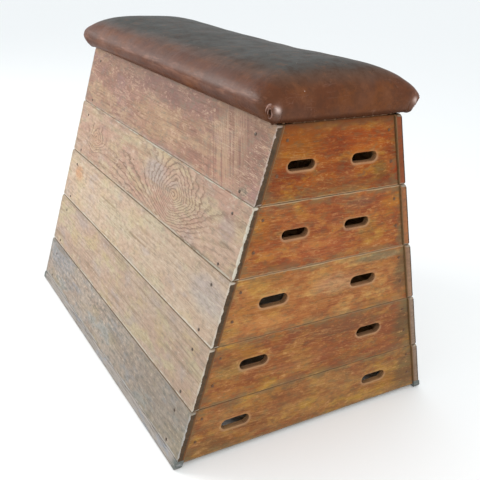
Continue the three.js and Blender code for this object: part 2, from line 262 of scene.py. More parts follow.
unevenness = bpy.data.textures.new("unevenness", "CLOUDS")
unevenness.noise_scale = wave_length
unevenness.noise_depth = 2


def bands_between(low, high, step):
    """Places that cut a length into equal bands of about this step."""
    count = max(2, round((high - low) / step))
    return [low + (high - low) * place / count for place in range(1, count)]


def finish_plank(piece, node, body, edge_width=plank_edge_width):
    """Round the edges, make the faces a little uneven, shade it, and let it stand for its solid."""
    apply_modifier(piece, "worn edges", "BEVEL", width=edge_width, segments=2, limit_method="ANGLE",
                   angle_limit=math.radians(40), harden_normals=False)
    apply_modifier(piece, "uneven faces", "DISPLACE", texture=unevenness, texture_coords="GLOBAL",
                   strength=wave_depth, mid_level=0.5)
    pick(piece)
    bpy.ops.object.shade_smooth_by_angle(angle=math.radians(32))
    apply_modifier(piece, "flat faces stay flat", "WEIGHTED_NORMAL", keep_sharp=True)
    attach(piece, body)
    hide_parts(node)


def round_slots(piece, tier, end):
    """Bevel the edges of both hand slots, wide outside and narrow inside."""
    boxes = [box for name, box in openings.items() if name.startswith(f"{tier}_{end}_")]
    low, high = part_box(f"{tier}_{end}_end_board")
    outside = high.x if end == "front" else low.x
    inside = low.x if end == "front" else high.x
    for face_x, width, steps in ((outside, slot_edge_width, 3), (inside, slot_inner_edge_width, 2)):
        open_piece(piece, "EDGE")
        for box_low, box_high in boxes:
            def on_rim(edge):
                return all(
                    abs(vert.co.x - face_x) < merge_distance * 10
                    and box_low[1] - slot_reach < vert.co.y < box_high[1] + slot_reach
                    and box_low[2] - slot_reach < vert.co.z < box_high[2] + slot_reach
                    for vert in edge.verts
                ) and len(edge.link_faces) == 2 and edge.calc_face_angle() > 1
            select_where(piece, "edges", on_rim)
        bpy.ops.mesh.bevel(offset=width, segments=steps, profile=0.5, affect="EDGES")
        close_piece()


planks = {}
for tier in tiers:
    for side in ("near", "far"):
        node = f"{tier}_{side}_side_board"
        board = copy_of(node, f"{tier}_{side}_side_plank")
        flatten_faces(board)
        low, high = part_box(node)
        slice_across(board, 0, bands_between(low.x, high.x, band_length))
        slice_across(board, 2, bands_between(low.z, high.z, band_length))
        finish_plank(board, node, tier)
        planks[node] = board
    for end in ("front", "back"):
        node = f"{tier}_{end}_end_board"
        board = copy_of(node, f"{tier}_{end}_end_plank")
        flatten_faces(board)
        round_slots(board, tier, end)
        low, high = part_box(node)
        slice_across(board, 1, bands_between(low.y, high.y, band_length))
        slice_across(board, 2, bands_between(low.z, high.z, band_length))
        finish_plank(board, node, tier)
        planks[node] = board
print("planks:", len(planks), "with", sum(faces_in(board) for board in planks.values()), "faces")

# %% [markdown]
# ## Patterns for finishes
#
# A finish is made from patterns: a number at each point of the surface, such as how deep a scratch is
# there, or how much varnish is left. Blender works them out with shader nodes. Adding and multiplying
# patterns takes one small node each time, which is slow to place by hand and hard to read, so this
# class lets a pattern be written like a sum. Every `+` or `*` below still places an ordinary Math node.
#
# Patterns read Object coordinates. All pieces have their origin at the same point, so a pattern keeps
# its true size in metres and runs on from one piece to the next unless it is given another seed.

# %% Patterns
def colour_of(code):
    """A colour from its six-digit code, as the linear values that shaders use."""
    parts = [int(code[place:place + 2], 16) / 255 for place in (1, 3, 5)]
    linear = [part / 12.92 if part <= 0.04045 else ((part + 0.055) / 1.055) ** 2.4 for part in parts]
    return (*linear, 1.0)


class Pattern:
    """A number at each point of a surface, which one output of a shader node gives."""

    def __init__(self, finish, socket):
        self.finish = finish
        self.socket = socket

    def math(self, operation, *others):
        node = self.finish.node("ShaderNodeMath", operation=operation)
        for place, value in enumerate((self, *others)):
            self.finish.feed(node.inputs[place], value)
        return Pattern(self.finish, node.outputs[0])

    def __add__(self, other):
        return self.math("ADD", other)

    def __sub__(self, other):
        return self.math("SUBTRACT", other)

    def __mul__(self, other):
        return self.math("MULTIPLY", other)

    def __truediv__(self, other):
        return self.math("DIVIDE", other)

    def __abs__(self):
        return self.math("ABSOLUTE")

    def __neg__(self):
        return self.math("MULTIPLY", -1.0)

    def at_least(self, other):
        return self.math("MAXIMUM", other)

    def at_most(self, other):
        return self.math("MINIMUM", other)

    def ramp(self, start, end):
        """0 at the start, 1 at the end, with a soft rise between; the end may be the lower one."""
        node = self.finish.node("ShaderNodeMapRange", interpolation_type="SMOOTHSTEP")
        for socket, value in (("Value", self), ("From Min", start), ("From Max", end)):
            self.finish.feed(node.inputs[socket], value)
        return Pattern(self.finish, node.outputs[0])

    def thin_line(self, level, width):
        """1 where the pattern is this close to a level, which on a cloud pattern is a wavy line."""
        return abs(self - level).ramp(width, width * 0.35)


class Finish:
    """A material that is being built: its nodes, and the patterns and colours that it is mixed from."""

    def __init__(self, name):
        self.material = bpy.data.materials.new(name)
        self.material.use_nodes = True
        self.tree = self.material.node_tree
        self.shader = self.tree.nodes["Principled BSDF"]
        place = self.node("ShaderNodeTexCoord")
        self.place = place.outputs["Object"]

    def node(self, kind, **settings):
        node = self.tree.nodes.new(kind)
        for setting, value in settings.items():
            setattr(node, setting, value)
        return node

    def feed(self, socket, value):
        """Link a pattern or a node's output to a socket, or set a plain value on it."""
        if isinstance(value, Pattern):
            self.tree.links.new(value.socket, socket)
        elif isinstance(value, bpy.types.NodeSocket):
            self.tree.links.new(value, socket)
        elif isinstance(value, str):
            socket.default_value = colour_of(value)
        else:
            socket.default_value = value

    def turn(self, angles):
        """Turn the coordinates, so that a slanted board has its length and height along X and Z."""
        node = self.node("ShaderNodeMapping")
        node.inputs["Rotation"].default_value = angles
        self.tree.links.new(self.place, node.inputs["Vector"])
        self.place = node.outputs[0]

    def axes(self):
        node = self.node("ShaderNodeSeparateXYZ")
        self.tree.links.new(self.place, node.inputs[0])
        return [Pattern(self, output) for output in node.outputs]

    def stretched(self, size, seed, tilt=0.0):
        """Coordinates in which a thing of this size in metres is 1 long, wide and high."""
        node = self.node("ShaderNodeMapping", vector_type="TEXTURE")
        node.inputs["Location"].default_value = (seed * 1.7, seed * 2.3, seed * 0.9)
        node.inputs["Rotation"].default_value = (0, tilt, 0)
        node.inputs["Scale"].default_value = size
        self.tree.links.new(self.place, node.inputs["Vector"])
        return node.outputs[0]

    def clouds(self, size, seed=0.0, detail=2.0, roughness=0.5, tilt=0.0, warp=0.0):
        """A cloud pattern from 0 to 1, with lumps of this size."""
        node = self.node("ShaderNodeTexNoise")
        node.inputs["Scale"].default_value = 1.0
        node.inputs["Detail"].default_value = detail
        node.inputs["Roughness"].default_value = roughness
        node.inputs["Distortion"].default_value = warp
        self.tree.links.new(self.stretched(size, seed, tilt), node.inputs["Vector"])
        return Pattern(self, node.outputs[0])

    def cells(self, size, seed=0.0, feature="F1", randomness=1.0):
        """The distance to the nearest of many scattered points, or to the border between their cells."""
        node = self.node("ShaderNodeTexVoronoi", feature=feature)
        node.inputs["Scale"].default_value = 1.0
        node.inputs["Randomness"].default_value = randomness
        self.tree.links.new(self.stretched(size, seed), node.inputs["Vector"])
        return Pattern(self, node.outputs["Distance"])

    def mix(self, base, other, amount, blend="MIX"):
        """One colour over another, by a pattern that says how much."""
        node = self.node("ShaderNodeMix", data_type="RGBA", blend_type=blend)
        for socket, value in ((node.inputs[0], amount), (node.inputs[6], base), (node.inputs[7], other)):
            self.feed(socket, value)
        return node.outputs[2]

    def complete(self, colour, roughness, height):
        """Wire up the shader: colour, roughness, and a relief in metres."""
        relief = self.node("ShaderNodeBump")
        relief.inputs["Distance"].default_value = 1.0
        relief.inputs["Strength"].default_value = 1.0
        self.feed(relief.inputs["Height"], height)
        self.feed(self.shader.inputs["Base Color"], colour)
        self.feed(self.shader.inputs["Roughness"], roughness)
        self.tree.links.new(relief.outputs[0], self.shader.inputs["Normal"])
        return self.material


print("patterns are ready")

# %% [markdown]
# ## Where a board's edges are
#
# Wear follows a board's own edges, and the long boards lean inwards by some 15 degrees. So each board
# is measured in coordinates of its own: X along it, Z up its face, and Y into the wood. A Mapping node
# makes the same turn in the material, and the numbers measured here tell it where the edges are.

# %% Measure each board
side_lean = math.radians(14.574)
turns = {
    "near_side": (side_lean, 0.0, 0.0),
    "far_side": (-side_lean, 0.0, math.pi),
    "front_end": (0.0, 0.0, -math.pi / 2),
    "back_end": (0.0, 0.0, math.pi / 2),
}


def turning(angles):
    """The matrix of a turn about X, then Y, then Z, as a Mapping node makes it."""
    return (Matrix.Rotation(angles[2], 3, "Z") @ Matrix.Rotation(angles[1], 3, "Y")
            @ Matrix.Rotation(angles[0], 3, "X"))


def limits(places):
    """The lowest and the highest corner of some places."""
    return [Vector([extreme(place[axis] for place in places) for axis in range(3)]) for extreme in (min, max)]


class Board:
    """A board's turn, its limits in its own coordinates, and the hand slots in it."""

    def __init__(self, tier, face):
        self.turn = turns[face]
        turned = turning(self.turn)
        verts = [vert.co for vert in frame["nodes"][f"{tier}_{face}_board"].data.vertices]
        self.low, self.high = limits([turned @ vert for vert in verts])
        self.taper = math.tan(side_lean) if "end" in face else 0.0  # an end board narrows going up
        self.slots = []
        for name, (low, high) in openings.items():
            if name.startswith(f"{tier}_{face.split('_')[0]}_"):
                rim = [turned @ vert for vert in verts
                       if low[1] - slot_reach < vert.y < high[1] + slot_reach
                       and low[2] - slot_reach < vert.z < high[2] + slot_reach]
                slot_low, slot_high = limits(rim)
                middle, half = (slot_low + slot_high) / 2, (slot_high - slot_low) / 2
                self.slots.append((middle.x, middle.z, half.x - half.z, half.z))


boards = {(tier, face): Board(tier, face) for tier in tiers for face in turns}
for key in (("top_tier", "near_side"), ("top_tier", "front_end")):
    board = boards[key]
    print(key, "from", [round(v, 3) for v in board.low], "to", [round(v, 3) for v in board.high], board.slots)

# %% [markdown]
# ## The wood's finish
#
# The planks are softwood, sawn flat from the log, so a face cuts the year rings at a slant and shows
# them as long streaks that close up into arches. That can't be painted on as stripes and look right.
# Instead the pattern works out, for each point, how far it lies from the log's middle, and draws a dark
# line wherever that distance passes a whole number of year rings. Where the surface is planed a little
# deeper, as around a knot, the lines close into islands, so a few places on a board are given a mound
# in that distance.
#
# Over the wood come, from below: patches of other tones, old amber varnish, scratches through it,
# dirt in the joints, painted shade that darkens some boards towards one end and under the pad's
# overhang, pale bruised edges, the dark line of the joint itself, iron stains round the screws, and
# wear round the hand slots, with painted light on their lower lips and painted shade deep inside.
# End grain has a finish of its own, with painted shade where it meets the recessed end board. On the
# far side it keeps some varnish, inside a dark outline.

# %% Wood finish
def mound(along, up, at, size, pointed=2.0):
    """1 at one place of a board, fading to 0 over this size. A low power gives it a pointed outline."""
    across = abs((along - at[0]) / size[0]).math("POWER", pointed)
    above = abs((up - at[1]) / size[1]).math("POWER", pointed)
    return (-(across + above)).math("EXPONENT")


board_corner = 11 * millimetre  # how round the side boards' corners are


def finish_wood(name, board, look, seed):
    """The whole finish of one board, from its measured edges and the tones of its tier."""
    wood = Finish(name)
    wood.turn(board.turn)
    along, into, up = wood.axes()
    depth = into - board.low.y
    thickness = board.high.y - board.low.y

    # Year rings
    drift = wood.clouds((0.30, 0.2, 0.09), seed, detail=1.0)
    ripple = wood.clouds((0.035, 0.05, 0.012), seed + 1, detail=3.0)
    below = along * look["tilt"] + (depth + look["pith_depth"])
    beside = up - (board.low.z + look["pith_up"])
    rings = (below * below + beside * beside).math("SQRT") / look["ring"]
    rings = rings + drift * look["waviness"] + ripple * look["ripple"]
    shows = wood.clouds((0.22, 0.1, 0.06), seed + 2).ramp(look["plain"], look["plain"] + 0.2) * 0.6 + 0.12
    for at, size, count in look["islands"]:
        rings = rings + mound(along, up, at, size, pointed=1.4) * count
        shows = shows.at_least(mound(along, up, at, (size[0] * 1.5, size[1] * 1.5)).ramp(0.05, 0.6))
    part = rings.math("FRACT")
    late = part.ramp(0.52, 0.88) * part.ramp(1.0, 0.93) * shows

    # Fibres and tones
    fibre = wood.clouds((0.10, 0.004, 0.0026), seed + 3, detail=3.0, roughness=0.65)
    streak = wood.clouds((0.30, 0.05, 0.012), seed + 4, detail=3.0, roughness=0.6)
    patch = wood.clouds(look["patch_size"], seed + 5, detail=4.0, roughness=0.62)
    other_patch = wood.clouds(look["patch_size"], seed + 6, detail=4.0, roughness=0.66)
    tint = wood.clouds((0.13, 0.1, 0.07), seed + 16, detail=3.0, roughness=0.6)
    mottle = wood.clouds((0.026, 0.02, 0.012), seed + 15, detail=5.0, roughness=0.72)
    colour = wood.mix(look["main"], look["second"], patch.ramp(0.44, 0.58))
    colour = wood.mix(colour, look["third"], other_patch.ramp(0.50, 0.62))
    colour = wood.mix(colour, look["warm"], tint.ramp(0.52, 0.66) * look["tinted"])
    colour = wood.mix(colour, look["cool"], tint.ramp(0.46, 0.32) * look["tinted"])
    for at, size, tone, amount in look["patches"]:
        edge = mound(along, up, at, size) * (mottle + 0.5)
        colour = wood.mix(colour, tone, edge.ramp(0.15, 0.8) * amount)
    colour = wood.mix(colour, look["streak"], streak.ramp(0.5, 0.68) * look["streaks"])
    colour = wood.mix(colour, look["line"], late * look["lines"])
    colour = wood.mix(colour, look["line"], fibre.ramp(0.50, 0.72) * look["fibres"])
    colour = wood.mix(colour, look["dirt"], mottle.ramp(0.50, 0.64) * look["mottled"])
    colour = wood.mix(colour, look["bare"], mottle.ramp(0.46, 0.32) * look["mottled"])

    # Hand slots: how far outside its rim a point is, and how far above its middle
    hollow = None
    for slot_x, slot_z, half_length, radius in board.slots:
        beyond = (abs(along - slot_x) - half_length).at_least(0.0)
        away = up - slot_z
        reach = (beyond * beyond + away * away).math("SQRT") - radius
        hollow = reach if hollow is None else hollow.at_most(reach)

    # Old varnish, and scratches through it
    cover = wood.clouds((0.16, 0.1, 0.05), seed + 7, detail=5.0, roughness=0.72)
    varnish = cover.ramp(look["bareness"], look["bareness"] + 0.12)
    colour = wood.mix(colour, look["varnish"], varnish * look["varnish_amount"], blend="MULTIPLY")
    scratched = wood.clouds((0.14, 0.1, 0.08), seed + 8, detail=2.0).ramp(0.44, 0.62)
    if hollow is not None:
        scratched = scratched.at_least(hollow.ramp(0.075, 0.01))
    scratch = wood.clouds((0.16, 0.1, 0.008), seed + 9, detail=2.0).thin_line(0.5, 0.016)
    slanted = wood.clouds((0.10, 0.1, 0.006), seed + 10, detail=1.0, tilt=0.16).thin_line(0.5, 0.018)
    scratch = scratch.at_least(slanted)
    drag = wood.clouds((0.009, 0.1, 0.30), seed + 11, detail=2.0, tilt=look["drag_tilt"])
    for at, size in look["drags"]:
        dragged = mound(along, up, at, size)
        scratch = scratch.at_least(drag.thin_line(0.5, 0.05) * dragged)
        colour = wood.mix(colour, look["third"], drag.ramp(0.52, 0.60) * dragged * 0.7)
        colour = wood.mix(colour, look["streak"], drag.ramp(0.46, 0.38) * dragged * 0.7)
    scratch = scratch * (scratched * 0.85 + 0.15)
    colour = wood.mix(colour, look["bare"], scratch * look["scratches"])

    # Dents and specks
    dent = wood.cells((0.045, 0.045, 0.045), seed + 12).ramp(0.075, 0.03)
    speck = wood.cells((0.019, 0.019, 0.019), seed + 13).ramp(0.08, 0.02)
    colour = wood.mix(colour, look["dirt"], dent * 0.6)
    colour = wood.mix(colour, look["bare"], speck * 0.4)

    # Edges: joints hold dirt, corners are bruised pale; painted shade darkens some boards towards one end and
    # under the pad's overhang
    from_bottom = up - board.low.z
    from_top = -(up - board.high.z)
    from_end = -(abs(along) + from_bottom * board.taper - board.high.x)
    joint = from_bottom.at_most(from_top)
    grime = wood.clouds((0.05, 0.05, 0.02), seed + 14, detail=4.0, roughness=0.65)
    dirt = (joint.ramp(look["dirt_reach"], 0.0) * 0.7).at_least(from_end.ramp(0.03, 0.0) * 0.5)
    dirt = dirt.at_least((joint + from_end).ramp(0.085, 0.01) * 0.9) * grime.ramp(0.40, 0.58)
    # Painted shade: the lower tiers darken towards one end of the board, for the light that falls off along
    # the box
    dirt = dirt.at_least(along.ramp(look["soiled_from"], look["soiled_from"] + 0.9) * look["soiled"])
    colour = wood.mix(colour, look["dirt"], dirt * look["dirtiness"])
    # Painted shadow of the pad's overhang: a darker band down from the top edge, and deeper shade right at it
    if look["sheltered"]:
        painted_overhang_band = (from_top + grime * 0.02).ramp(0.060, 0.018)
        colour = wood.mix(colour, look["streak"], painted_overhang_band * look["sheltered"])
        colour = wood.mix(colour, look["shade"], from_top.ramp(0.026, 0.002) * look["shadowed"])
    ragged = grime * look["edge_reach"]
    bruised = grime.ramp(look["edge_gaps"], look["edge_gaps"] + 0.16)
    for distance, amount in zip((from_bottom, from_top, from_end), look["edges"]):
        if amount:
            bruise = (distance - ragged).ramp(0.0016, -0.0016) * bruised
            colour = wood.mix(colour, look["edge"], bruise * amount)
    # On the top tier no board lies above, so the dark line along the top edge is painted shade under the pad;
    # where shadowed is set it is kept whole
    seam = from_top.ramp(look["seam_width"], look["seam_width"] * 0.4)
    seam = seam.at_least(from_bottom.ramp(0.0028, 0.0010))
    seam = seam * (grime.ramp(0.36, 0.56) * 0.45 + 0.55).at_least(look["shadowed"])
    if board.taper:
        seam = seam.at_least(from_end.ramp(0.006, 0.001))
    colour = wood.mix(colour, look["seam"], seam * look["seam_depth"])

    # Iron stains round the screws
    for height, amount in look["screw_stains"]:
        stain = mound(abs(along), up, (look["screw_along"], height), (0.008, 0.008))
        colour = wood.mix(colour, "#4a3c34", stain.ramp(0.3, 0.9) * amount)

    # Round the slots the wood is worn. Below the middle the lip is paler, partly bare wood and partly painted
    # light where the lower rim faces up; inside, the walls have a tone of their own, with painted shade
    # deeper in
    if hollow is not None:
        slot_middle = board.slots[0][1]
        under = (up - slot_middle).ramp(0.008, -0.006)
        colour = wood.mix(colour, look["worn"], (hollow + grime * 0.03).ramp(0.026, 0.008) * 0.5)
        # Paler lower lip: bare wood, and painted light where the lower rim faces up
        bare_and_lit_lower_lip = (hollow - grime * 0.008).ramp(0.004, 0.0) * under
        colour = wood.mix(colour, look["lip"], bare_and_lit_lower_lip * 0.5)
        wall = hollow.ramp(0.0004, -0.0008) * depth.ramp(0.0008, 0.0028)
        wall_tone = wood.mix(look["wall"], look["lip"], grime.ramp(0.50, 0.66) * 0.45)
        colour = wood.mix(colour, wall_tone, wall * 0.95)
        # Painted shade: the walls darken deeper into the slot
        colour = wood.mix(colour, "#2c1c12", wall * depth.ramp(0.003, 0.011) * 0.7)

    # End grain with its outline, a run of varnish on its inner side, and the plain inner face; painted shade
    # darkens both where they meet the recessed end board
    past_end = (-(from_end - board_corner)).at_least(0.0)
    past_joint = (-(joint - board_corner)).at_least(0.0)
    from_outline = -((past_end * past_end + past_joint * past_joint).math("SQRT") - board_corner)
    end_grain = from_outline.ramp(0.0012, 0.0004) * from_end.ramp(0.0100, 0.0080) * look["shows_end"]
    grain_tone = wood.mix(look["end_grain"], look["line"], late * 0.5)
    grain_tone = wood.mix(grain_tone, "#33281c", mottle.ramp(0.44, 0.60) * look["end_mottled"])
    if look["outlined"]:
        outline = (depth - grime * 0.002).ramp(0.0034, 0.0014)
        grain_tone = wood.mix(grain_tone, "#2a2018", outline * look["outlined"])
    pale = (depth - (grime - 0.4) * 0.016 - look["pale_end"]).ramp(0.0, -0.0020)
    grain_tone = wood.mix(grain_tone, look["edge"], pale * 0.85)
    run = (depth - thickness + (grime - 0.5) * 0.010).ramp(-0.008, -0.004)
    grain_tone = wood.mix(grain_tone, "#6a3f1c", run * look["varnish_run"])
    # Painted shade along the end grain's inner edge, beside the recessed end board
    grain_tone = wood.mix(grain_tone, look["seam"], (depth - thickness).ramp(-0.003, -0.0005) * 0.6)
    colour = wood.mix(colour, grain_tone, end_grain)
    inner = depth.ramp(thickness - 0.002, thickness - 0.0008)
    inner_tone = wood.mix("#b9946a", "#9a7449", streak.ramp(0.35, 0.7))
    inner_tone = wood.mix(inner_tone, "#6d4f31", late * 0.5)
    # Painted shade on the inner face near its end, in the recess beside the end board
    inner_tone = wood.mix(inner_tone, look["seam"], from_end.ramp(0.016, 0.007) * 0.85)
    colour = wood.mix(colour, inner_tone, inner)

    wood.shader.inputs["Specular IOR Level"].default_value = look["shine"]
    roughness = varnish * look["varnish_amount"] * -0.4 + 0.74 + scratch * 0.1
    relief = (late * 0.00008 - fibre * 0.00018 - scratch * 0.00022 - dent * 0.0005 - speck * 0.00015
              + varnish * 0.00005 - grime * 0.00012 - mottle * 0.00015)
    return wood.complete(colour, roughness, relief)


# %% [markdown]
# ## The tones of each board
#
# One recipe serves all twenty boards, with the tones and strengths that differ from tier to tier. The
# long sides have lost nearly all their varnish: pinkish brown at the top, pale in the middle, and
# bluish grey at the floor. The ends kept theirs and are amber. The fourth side board is the one with
# the bold grain: two islands, where the saw came close to a swelling in the log, and a wide arch between.
#
# In each list, main, second and third are the ground of the wood, warm and cool tint it, and bare and
# edge are the pale tones where it is rubbed. Seam is the shadow in a joint. Patches and islands stand
# by their place along the board and up its face, and by how far they reach each way.

# %% Tones
def tones(**changes):
    """The tones and strengths of one side board: a common start, with this board's own changes."""
    look = dict(
        main="#ae9480", second="#a38673", third="#b19f86", streak="#94795f", line="#6f5746", bare="#c4b29f",
        warm="#b3a07a", cool="#a2918c", tinted=0.45, worn="#b98a5e", edge="#b9b0a2", seam="#6b5235",
        dirt="#7b7162", end_grain="#4b3824", lip="#9c7a5c", wall="#513927", varnish="#b0623a",
        varnish_amount=0.0, bareness=0.5, shine=0.25, streaks=0.6, lines=0.35, fibres=0.55, mottled=0.5,
        scratches=0.4, dirtiness=0.7, soiled=0.0, soiled_from=-0.3, waviness=4.0, ripple=0.9, tilt=0.02,
        pith_depth=0.03, pith_up=0.40, ring=0.014, plain=0.46, patch_size=(0.20, 0.2, 0.08), islands=(),
        patches=(), drags=(), drag_tilt=-0.5, shows_end=1.0, edges=(0.7, 0.4, 0.45), pale_end=-0.0005,
        seam_width=0.0080, seam_depth=0.95, dirt_reach=0.020, sheltered=0.0, shadowed=0.0,
        edge_reach=0.012, edge_gaps=0.36, shade="#5a2a10", far_end="#86705e", end_mottled=0.6,
        outlined=0.0, varnish_run=0.8,
    )
    look.update(changes)
    return look


def amber(**changes):
    """The end boards keep most of their varnish."""
    look = tones(
        main="#a0602a", second="#8a4720", third="#ac7834", streak="#6c3c1a", line="#54301a", bare="#c0925f",
        warm="#a8802f", cool="#86482c", tinted=0.6, edge="#b89e7c", dirt="#665a3e", varnish="#c98748",
        shine=0.20, varnish_amount=0.5, bareness=0.42, streaks=0.3, lines=0.25, fibres=0.3,
        mottled=0.45, scratches=0.3, dirtiness=0.8, dirt_reach=0.034, shows_end=0.0, ring=0.011,
        plain=0.45, patch_size=(0.07, 0.1, 0.045), edges=(0.25, 0.5, 0.0), edge_reach=0.007,
        edge_gaps=0.26, seam="#44290f", seam_width=0.0030, seam_depth=0.6,
    )
    look.update(changes)
    return look


side_looks = {
    "top_tier": tones(
        main="#9c7868", second="#8f6b5b", third="#a5886e", streak="#7f5c4e", line="#664938",
        varnish="#c59a90", warm="#a48a68", cool="#83666a", varnish_amount=0.35, bareness=0.46,
        scratches=0.55, bare="#c0a48d", fibres=0.7, mottled=0.6,
        drags=(((0.49, 0.80), (0.10, 0.18)),),
        patches=(((0.0, 0.88), (0.45, 0.05), "#80605a", 0.65), ((0.60, 0.82), (0.09, 0.12), "#7d5c52", 0.55),
                 ((0.05, 0.76), (0.25, 0.06), "#a98a6b", 0.5), ((0.42, 0.72), (0.14, 0.04), "#b08671", 0.5),
                 ((0.623, 0.716), (0.022, 0.014), "#666357", 0.8)),
        edges=(0.35, 0.0, 0.45), edge="#b5a59c", sheltered=0.12, pale_end=-0.001, far_end="#7c3d1b",
    ),
    "fourth_tier": tones(
        main="#b1937f", second="#a98573", third="#b09b80", lines=0.80, line="#6f5443", plain=0.44,
        ring=0.029, pith_up=-0.18, fibres=0.45, mottled=0.5, waviness=2.2, ripple=1.3,
        seam_width=0.0045, soiled=0.2, soiled_from=-0.1, dirtiness=0.8,
        islands=(((0.259, 0.584), (0.150, 0.085), 14.0), ((-0.470, 0.580), (0.07, 0.042), 6.0),
                 ((-0.085, 0.545), (0.13, 0.050), 1.2)),
        patches=(((-0.470, 0.575), (0.06, 0.04), "#b38a70", 0.6),
                 ((0.10, 0.62), (0.09, 0.05), "#a0948e", 0.8),
                 ((0.266, 0.59), (0.035, 0.02), "#bb9a7b", 0.6),
                 ((-0.02, 0.655), (0.06, 0.018), "#ad7f70", 0.6),
                 ((0.60, 0.60), (0.05, 0.04), "#9c8684", 0.6),
                 ((-0.15, 0.66), (0.30, 0.014), "#a2967a", 0.5),
                 ((0.50, 0.484), (0.20, 0.009), "#6f604c", 0.9),
                 ((0.62, 0.558), (0.045, 0.006), "#7d6653", 0.8)),
        edges=(0.5, 0.9, 0.9), edge="#bdb6a6", pale_end=0.004, far_end="#96603a",
    ),
    "third_tier": tones(
        main="#bba48e", second="#b69b85", third="#b6a68c", streak="#9a8068", lines=0.4, bare="#cdbca8",
        warm="#bda881", cool="#a99c98", soiled=0.3, edge="#c4bcae", far_end="#8f6e56",
        patches=(((-0.56, 0.41), (0.05, 0.035), "#bd8659", 0.7), ((0.60, 0.40), (0.12, 0.06), "#a59a98", 0.7),
                 ((-0.20, 0.403), (0.09, 0.005), "#8b7558", 0.8),
                 ((0.07, 0.372), (0.10, 0.005), "#8b7558", 0.8)),
    ),
    "second_tier": tones(
        main="#b29b88", second="#ab907d", third="#b0a082", streak="#8a735d", lines=0.4, warm="#b09a72",
        cool="#9d908b", soiled=0.35, edge="#bcb4a6", tinted=0.6, mottled=0.62, streaks=0.75,
    ),
    # The base tier's darker, greyer tones are partly weathered wood and partly painted shade for the weaker
    # light near the floor
    "base_tier": tones(
        main="#a09285", second="#978679", third="#94928c", streak="#7f7265", lines=0.3, warm="#9a8b72",
        cool="#85868a", dirt="#65635a", dirtiness=0.8, edge="#a9a6a2", soiled=0.45, tinted=0.7,
        mottled=0.7, streaks=0.75,
        patches=(((-0.55, 0.06), (0.20, 0.10), "#85878b", 0.7),),
    ),
}
end_looks = {
    "top_tier": amber(
        main="#8d4816", second="#7d3c17", third="#965e1f", edges=(0.5, 0.0, 0.0), sheltered=0.3,
        shadowed=0.6, bare="#b08350", seam_depth=0.95, shine=0.14,
        patches=(((-0.15, 0.95), (0.10, 0.07), "#945916", 0.8),
                 ((0.235, 0.87), (0.022, 0.12), "#96350f", 0.9),
                 ((0.10, 0.93), (0.09, 0.05), "#9a4a13", 0.7), ((-0.26, 0.83), (0.04, 0.05), "#835d26", 0.6),
                 ((0.02, 0.81), (0.12, 0.03), "#804323", 0.6), ((0.16, 0.84), (0.03, 0.03), "#6d5726", 0.6)),
    ),
    "fourth_tier": amber(
        main="#995726", second="#8b4922", third="#a5692c", edges=(0.35, 0.75, 0.0),
        patches=(((-0.25, 0.72), (0.06, 0.05), "#a2661f", 0.8), ((0.29, 0.68), (0.030, 0.10), "#64583a", 0.8),
                 ((0.10, 0.75), (0.05, 0.02), "#744d3c", 0.7), ((0.22, 0.74), (0.05, 0.03), "#a4651f", 0.7),
                 ((-0.02, 0.63), (0.12, 0.04), "#a15a34", 0.6)),
    ),
    "third_tier": amber(
        main="#ab763f", second="#9f6537", third="#b1834a", edges=(0.1, 0.65, 0.0), tinted=0.4,
        patches=(((0.31, 0.50), (0.035, 0.09), "#6d5d40", 0.8), ((0.20, 0.56), (0.10, 0.016), "#7f7a5e", 0.8),
                 ((0.05, 0.50), (0.09, 0.04), "#ab7f5e", 0.7), ((-0.33, 0.42), (0.05, 0.02), "#a97f3a", 0.7),
                 ((-0.15, 0.42), (0.14, 0.03), "#ad6f3e", 0.5)),
    ),
    "second_tier": amber(
        main="#96602f", second="#8a522d", third="#9c6c35", edges=(0.1, 0.2, 0.0),
        patches=(((0.36, 0.30), (0.05, 0.10), "#5f5035", 0.8), ((-0.30, 0.30), (0.06, 0.04), "#8a6a3a", 0.7),
                 ((0.10, 0.34), (0.16, 0.03), "#7b5237", 0.7), ((-0.05, 0.26), (0.14, 0.04), "#96623f", 0.5)),
    ),
    "base_tier": amber(
        main="#98693a", second="#895c34", third="#a3773c", edges=(0.3, 0.1, 0.0), tinted=0.7,
        patches=(((0.40, 0.10), (0.06, 0.08), "#6a5a3a", 0.7), ((0.0, 0.12), (0.20, 0.04), "#93693f", 0.5),
                 ((-0.36, 0.04), (0.09, 0.04), "#7d5a34", 0.7)),
    ),
}

# %% Finish all boards
side_screw_along = 604.5 * millimetre
side_screw_heights = (17 * millimetre, -50 * millimetre)  # from a board's bottom, and from its top
end_screw_inset = 24 * millimetre
end_screw_shares = (0.36, 0.80)  # of a board's height
stain_strength = 0.35


def screw_places(face, board):
    """Heights of a board's screws, and how far each stands from the board's middle."""
    low, high = board.low.z, board.high.z
    if "side" in face:
        heights = (low + side_screw_heights[0], high + side_screw_heights[1])
        return [(height, side_screw_along) for height in heights]
    heights = [low + share * (high - low) for share in end_screw_shares]
    return [(height, board.high.x - board.taper * (height - low) - end_screw_inset) for height in heights]


for count, ((tier, face), board) in enumerate(boards.items()):
    look = end_looks[tier] if "end" in face else side_looks[tier]
    places = screw_places(face, board)
    stains = [(height, stain_strength) for height, _ in places]
    look = {**look, "screw_along": places[0][1], "screw_stains": stains}
    if face == "far_side":
        look["islands"] = [((-x, z), size, rings) for (x, z), size, rings in look["islands"]]
        look["patches"] = []
        look.update(edge="#857c6d", end_grain=look["far_end"], end_mottled=0.25, outlined=0.9,
                    varnish_run=0.3, pale_end=-0.002)
    plank = planks[f"{tier}_{face}_board"]
    plank.data.materials.append(finish_wood(f"{tier}_{face}_wood", board, look, 3.1 * count))
print("finished", len(boards), "boards, each with", len(plank.data.materials[0].node_tree.nodes), "nodes")

